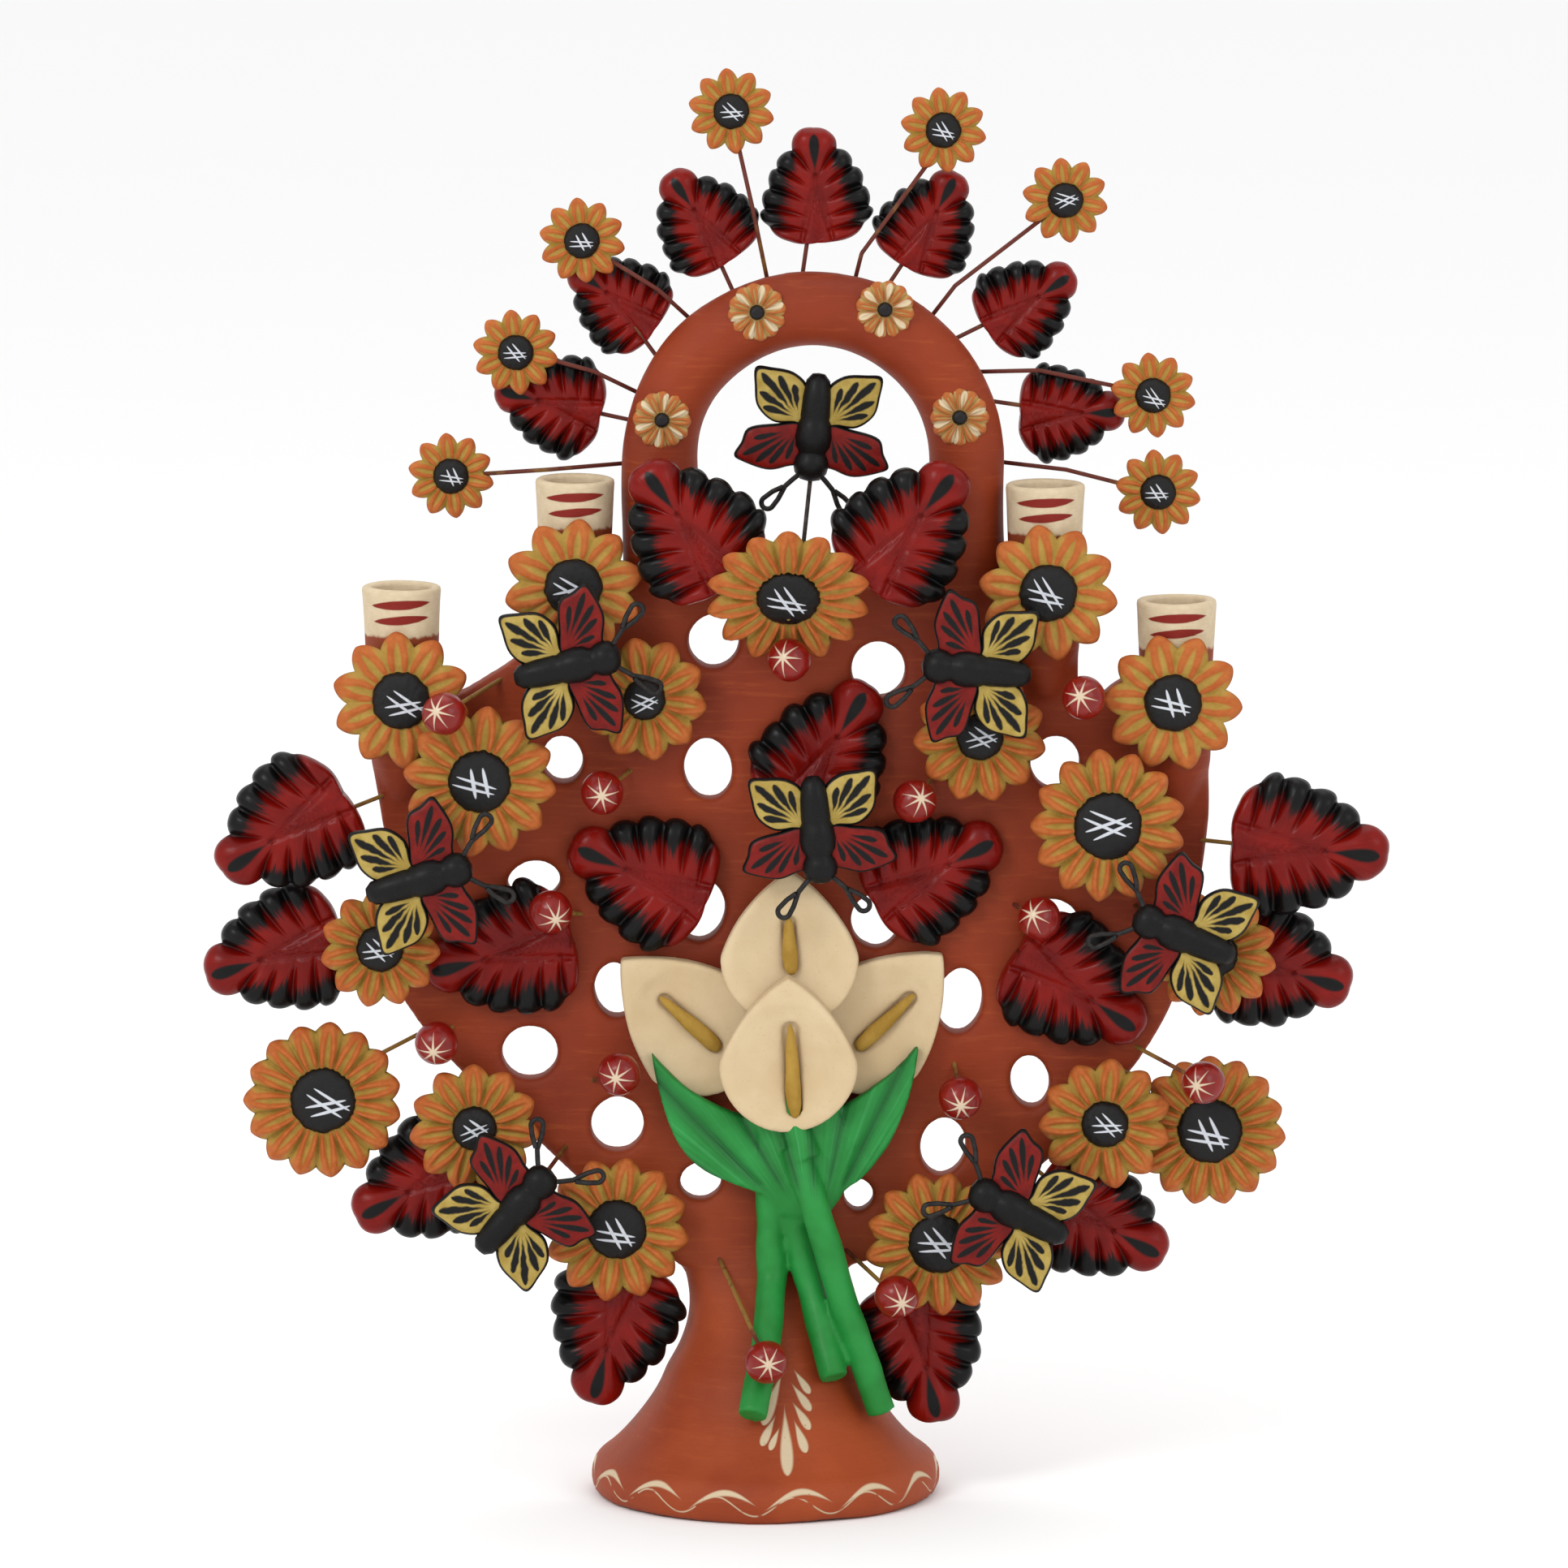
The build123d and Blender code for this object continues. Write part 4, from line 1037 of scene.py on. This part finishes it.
def butterfly_look(flow):
    wing, place = flow.own("wing"), flow.own("insect")
    x, y = place.part("X").size(), place.part("Y")
    kind, rim = wing.part("X"), wing.part("Y")
    seed = wing.part("Z")
    cloud = flow.joined(place.part("X") * 0.2, y * 0.2, seed).grain(1.0, 3.0, 0.6)
    bristle = flow.joined(place.part("X"), y, place.part("Z")).grain(1.8, 3.0, 0.7)
    jitter = (flow.joined(place.part("X") * 0.3, y * 0.3, seed).grain(1.0, 1.0) - 0.5) * 1.1
    red = cloud.mottled(tone(112, 10, 5), tone(138, 20, 10))
    yellow = cloud.mottled(tone(176, 148, 66), tone(198, 172, 92))
    colour = kind.rise(1.4, 1.6).blend(red, yellow)
    veins = strongest(stroke(x + jitter, y + jitter * 0.6, *touch) for touch in WING_STROKES)
    black = bristle.rise(0.4, 0.8).blend(tone(8, 8, 8), tone(26, 24, 24))
    edge = (rim + (cloud - 0.5) * 0.06).rise(0.88, 0.93)
    inked = veins.most(edge).most(kind.rise(0.9, 0.5))
    colour = inked.blend(colour, black)
    rough = 0.42 + (bristle - 0.5) * 0.25
    return colour, rough, bristle * 0.00014 + cloud * 0.0003


def loop_tree():
    """A round wire along the line that it is given, bent easily at each corner."""
    tree, size, result = opened_tree("bent_wire", (
        ("Wire", "NodeSocketFloat", 0.6),
        ("Bend", "NodeSocketFloat", 1.2),
        ("Paint", "NodeSocketMaterial", None),
    ))
    flow = Flow(tree)
    line = flow.node("GeometryNodeMeshToCurve", None, {0: size["Geometry"]})
    bends = {"Curve": line, "Radius": size["Bend"], "Count": 6, "Limit Radius": True}
    line = flow.node("GeometryNodeFilletCurve", {"mode": "POLY"}, bends)
    ring = flow.node("GeometryNodeCurvePrimitiveCircle", None, {"Resolution": 10, "Radius": size["Wire"]})
    along = {"Curve": line, "Profile Curve": ring, "Fill Caps": True}
    tube = flow.node("GeometryNodeCurveToMesh", None, along)
    tube = flow.node("GeometryNodeRealizeInstances", None, {"Geometry": tube})
    tube = flow.node("GeometryNodeSetMaterial", None, {"Geometry": tube, "Material": size["Paint"]})
    tree.links.new(tube.socket, result.inputs[0])
    return tree


def feelers_line(name):
    """Both feelers' middle lines, in millimetres."""
    points = [(side * x, y, z) for side in (1, -1) for x, y, z in FEELER]
    last = len(FEELER) - 1
    guide = bpy.data.meshes.new(name)
    guide.from_pydata(points, [(i, i + 1) for i in range(len(points) - 1) if i != last], [])
    return guide


loops = loop_tree()
butterfly_paint = painted("butterfly_paint", butterfly_look, 0.06, 0.25, 0.16)


def feeler_look(flow):
    where = flow.place()
    smear = where.grain(500.0, 3.0, 0.6)
    colour = smear.rise(0.35, 0.75).blend(tone(20, 18, 18), tone(48, 44, 42))
    return colour, 0.3 + smear * 0.3, smear * 0.0001


feeler_paint = painted("black_wire", feeler_look)
FEELER = (  # from the head outwards, then folded back beside itself
    (3.2, 16.5, 3.4), (6.0, 19.2, 3.0), (8.8, 22.2, 2.6), (11.0, 27.4, 2.4), (13.4, 31.2, 2.4),
    (16.8, 31.4, 2.4), (17.0, 28.0, 2.5), (13.2, 24.6, 2.7), (9.6, 22.4, 3.6),
)
FEELER_HALF = 0.95
FEELER_BEND = 2.2
BUTTERFLY_TURNS = {  # degrees that each one's head is turned to the left of straight up
    "upper_left": -77, "upper_right": 84, "centre": -175, "mid_left": -74, "mid_right": 67, "lower_left": -41,
    "lower_right": 62, "arch": 175,
}
TAIL_REACH = 22.0  # from the butterfly's own middle back to the hind wings' ends
HEAD_REACH = 15.0  # a wire whose middle is past this is likely a feeler
BODY_BELOW = 3.7  # how far the CAD body stands behind the wings' backs


def off_middle(wire, axes, seat):
    """How far a CAD wire is from the body's middle line, mm, with those past the head put last."""
    across, along = axes[:2] @ wire[0].mean(0) - seat[:2]
    return abs(across) + 1000.0 * (along > HEAD_REACH)


for place, turned_left in BUTTERFLY_TURNS.items():
    node = f"butterfly_{place}"
    body_name = f"{node}_body"
    solids = islands(node)
    clay = max(solids, key=lambda s: np.ptp(s[0], 0).prod())
    axes = tipped(FACE_ON, turned_left)
    flat = clay[0] @ axes.T
    low, high = flat.min(0), flat.max(0)
    seat = np.array([(low[0] + high[0]) / 2, low[1] + TAIL_REACH, low[2] + BODY_BELOW])
    put = stood(axes, seat)
    mesh = butterfly_mesh(node + "_clay", float(luck.uniform(0, 90)))
    mesh.transform(put)
    insect = placed(node + "_clay", mesh, butterfly_paint)
    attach(insect, body_name)
    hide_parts(node)
    feeler_sizes = {"Wire": FEELER_HALF, "Bend": FEELER_BEND, "Paint": feeler_paint}
    feelers_mesh = grown(loops, node + "_feelers", feeler_sizes, feelers_line(node + "_line"))
    feelers_mesh.transform(put)
    feelers = placed(node + "_feelers", feelers_mesh, feeler_paint)
    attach(feelers, body_name)
    stalk = min((s for s in solids if s is not clay), key=lambda s: off_middle(s, axes, seat))
    wire_piece(node + "_stalk", stalk, body_name, dark_wire if place == "arch" else wire_paint)


# ---- red berries -----------------------------------------------------------------------
# Thirteen balls of clay rolled in the palm, dipped in glossy red and signed with a star of
# eight thin cream strokes.
def berry_look(flow):
    where = flow.own("berry")
    x, y, z = where.part("X"), where.part("Y"), where.part("Z")
    cloud = where.grain(2.2, 3.0, 0.6)
    colour = cloud.mottled(tone(128, 11, 4), tone(150, 20, 8))
    reach = (x * x + y * y) ** 0.5
    angle = flow.sum("ARCTAN2", y, x)
    ray = angle * (8 / (2 * pi)) + 20.0
    off = (ray.sum("FRACT", ray) - 0.5).size() * (2 * pi / 8)
    aside = reach * off
    uneven = flow.joined(flow.sum("FLOOR", ray), 0.0, 0.0).grain(4.1, 0.0)
    length = 0.66 + uneven * 0.34
    thickness = (1.0 - reach / length).most(0.0) * 0.075 + 0.018
    star = ((thickness - aside) * 30.0).least(1.0).most(0.0)
    star = star * reach.rise(length, length - 0.04) * z.rise(0.0, 0.1)
    colour = star.blend(colour, tone(232, 208, 178))
    return colour, 0.3 + cloud * 0.15 + star * 0.2, star * 0.00012 + cloud * 0.0003


berry_paint = painted("berry_red", berry_look, 0.3, 0.15)
for number, solid in enumerate(islands("red_berries"), 1):
    points = solid[0]
    middle = (points.max(0) + points.min(0)) / 2
    radius = float(np.ptp(points, 0).max()) / 2
    form = bmesh.new()
    bmesh.ops.create_icosphere(form, subdivisions=4, radius=1.0)
    mesh = shaped(f"berry_{number}", form)
    tilt = Matrix.Rotation(radians(90 + luck.uniform(-22, 16)), 4, "X")
    swing = Matrix.Rotation(radians(luck.uniform(-22, 22)), 4, "Z")
    face_on = swing @ tilt @ Matrix.Rotation(luck.uniform(0, 1), 4, "Z")
    tagged(mesh, "berry", spots_of(mesh))
    mesh.transform(Matrix.Translation(middle / 1000) @ Matrix.Scale(radius / 1000, 4) @ face_on)
    pressed(mesh, 0.0005, 0.009, number)
    berry = placed(f"berry_{number}", mesh, berry_paint)
    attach(berry, "tree")
    if number == 1:
        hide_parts("red_berries")


# ---- lily bouquet ----------------------------------------------------------------------
# Four cream lilies, each a thin dish of clay with a mustard spadix laid in its crease, over
# two ribbed green leaves and three green stems that run down on to the foot.
def lily_look(flow):
    where = flow.place()
    cloud = where.grain(26.0, 4.0, 0.6)
    fine = where.grain(900.0, 3.0, 0.6)
    colour = cloud.rise(0.3, 0.72).blend(tone(222, 194, 150), tone(236, 212, 172))
    colour = (fine.rise(0.58, 0.74) * 0.3).blend(colour, tone(206, 172, 124))
    return colour, 0.62 + fine * 0.15, fine * 0.00008 + cloud * 0.0004


lily_cream = painted("lily_cream", lily_look)
spikes = islands("lily_spadices")
spike_lines = []
for points, corners in spikes:
    middle = points.mean(0)
    spread = points - middle
    axis = np.linalg.eigh(spread.T @ spread)[1][:, 2]
    axis = axis * (1 if axis[2] > 0 else -1)
    span = spread @ axis
    spike_lines.append((middle + axis * span.min(), middle + axis * span.max()))
for place in ("left", "right", "top", "front"):
    node = f"lily_{place}"
    mesh = softened(f"{node}_dish", [welded(node)], 0.0008, 9)
    spots = spots_of(mesh)
    dip = np.zeros(len(spots))
    for foot_end, head_end in spike_lines:
        run = (head_end - foot_end) / 1000
        base = foot_end / 1000
        share = np.clip((spots - base) @ run / (run @ run), -0.15, 1.1)
        aside = np.linalg.norm((spots - base - share[:, None] * run)[:, [0, 2]], axis=1)
        near = (spots[:, 1] < base[1] + 0.004) & (np.abs(spots[:, 1] - base[1]) < 0.0065)
        dip += (np.exp(-((aside / 0.0035) ** 2)) * 0.0006 + np.exp(-((aside / 0.010) ** 2)) * 0.0009) * near
    spots[:, 1] += np.minimum(dip, 0.0016)
    respotted(mesh, spots)
    pressed(mesh, 0.0005, 0.02, 3.0)
    lily = placed(f"{node}_dish", mesh, lily_cream)
    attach(lily, "tree")
    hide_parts(node)


def spadix_look(flow):
    where = flow.place()
    cloud = where.grain(90.0, 3.0, 0.6)
    fine = where.grain(1100.0, 3.0, 0.6)
    colour = cloud.mottled(tone(172, 132, 46), tone(194, 154, 66))
    return colour, 0.6 + fine * 0.15, fine * 0.0002 + cloud * 0.0004


spadix_paint = painted("mustard_paint", spadix_look)
SPADIX_PROFILE = (  # radius in mm, share of the length from the root
    (0.0, 0.0), (1.2, 0.012), (2.1, 0.05), (2.7, 0.14), (2.9, 0.3), (2.6, 0.5), (2.1, 0.72), (1.5, 0.88),
    (0.9, 0.965), (0.0, 1.0),
)
for number, (foot_end, head_end) in enumerate(spike_lines, 1):
    run = Vector(head_end - foot_end)
    mesh = shaped(f"spadix_{number}", turned([(r, h * run.length) for r, h in SPADIX_PROFILE], 24))
    aim = run.to_track_quat("Z", "Y").to_matrix().to_4x4()
    mesh.transform(Matrix.Scale(0.001, 4) @ Matrix.Translation(foot_end) @ aim)
    pressed(mesh, 0.0006, 0.005, number)
    spadix = placed(f"spadix_{number}", mesh, spadix_paint)
    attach(spadix, "tree")
    if number == 1:
        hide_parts("lily_spadices")

greens = ("lily_leaf_left", "lily_leaf_right", "lily_stems")
leaf_low, leaf_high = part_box("lily_leaf_left")
sheath = bmesh.new()
bmesh.ops.create_icosphere(sheath, subdivisions=4, radius=1.0)
sheath_middle = Vector((0.004, (leaf_low.y + leaf_high.y) / 2 - 0.0015, leaf_low.z + 0.022))
sheath_place = Matrix.Translation(sheath_middle) @ Matrix.Diagonal((0.019, 0.0058, 0.026, 1))
bmesh.ops.transform(sheath, matrix=sheath_place, verts=sheath.verts)
stems = spots_of(nodes["lily_stems"].data)
stem_top = Vector(stems[stems[:, 2] > stems[:, 2].max() - 0.002].mean(0))
neck = Vector((-0.006, 0.0035, 0.016))  # from the stems' top up behind the front lily
stub = bmesh.new()
stub_size = {"radius1": 0.0055, "radius2": 0.0052, "depth": neck.length + 0.008}
bmesh.ops.create_cone(stub, cap_ends=True, segments=24, **stub_size)
turn = neck.to_track_quat("Z", "Y").to_matrix().to_4x4()
bmesh.ops.transform(stub, matrix=Matrix.Translation(stem_top + neck * 0.4) @ turn, verts=stub.verts)
greens_mesh = softened("lily_greens", [welded(node) for node in greens] + [sheath, stub], 0.0010, 6)
spots = spots_of(greens_mesh)
root_x, root_z = 0.009, leaf_low.z - 0.012  # where the leaves' ribs would meet
RIBS = 13.0
lean = np.arctan2(spots[:, 0] - root_x, spots[:, 2] - root_z)
away = np.hypot(spots[:, 0] - root_x, spots[:, 2] - root_z)
on_leaf = spots[:, 2] > leaf_low.z + 0.010
on_leaf &= (spots[:, 1] < leaf_high.y - 0.002) & (spots[:, 1] > leaf_low.y - 0.001)
rise = np.clip((away - 0.016) / 0.015, 0, 1) * on_leaf
ribs = np.abs(np.sin(lean * RIBS + 0.6)) ** 0.6
spots[:, 1] += rise * (0.0027 * (1 - ribs) - 0.0005)
respotted(greens_mesh, spots)
pressed(greens_mesh, 0.0006, 0.012, 5.0)


def green_look(flow):
    where = flow.place()
    x = where.part("X") - root_x
    z = where.part("Z") - root_z
    lean = flow.sum("ARCTAN2", x, z)
    away = (x * x + z * z) ** 0.5
    drag = flow.joined(lean * 22.0, away * 9.0, 0.0).grain(1.6, 4.0, 0.65)
    cloud = where.grain(40.0, 3.0, 0.6)
    fine = where.grain(800.0, 3.0, 0.6)
    colour = cloud.mottled(tone(24, 132, 46), tone(40, 158, 68))
    leafy = (where.part("Z") * 1000.0).rise(112.0, 124.0)
    colour = (drag.rise(0.5, 0.72) * 0.5 * leafy).blend(colour, tone(84, 178, 112))
    colour = ((1.0 - drag).rise(0.52, 0.72) * 0.55 * leafy).blend(colour, tone(16, 92, 42))
    # Painted shade: the green is darkened along the furrows between the ribs.
    furrow_shade = (1.0 - flow.sum("SINE", lean * RIBS + 0.6).size() ** 0.6) * leafy * away.rise(0.014, 0.03)
    colour = (furrow_shade * 0.8).blend(colour, tone(10, 72, 32))
    return colour, 0.46 + fine * 0.2, fine * 0.0001 + drag * leafy * 0.0003


green_paint = painted("leaf_green", green_look, 0.1, 0.3)
lily_greens = placed("lily_greens", greens_mesh, green_paint)
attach(lily_greens, "tree")
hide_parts(*greens)
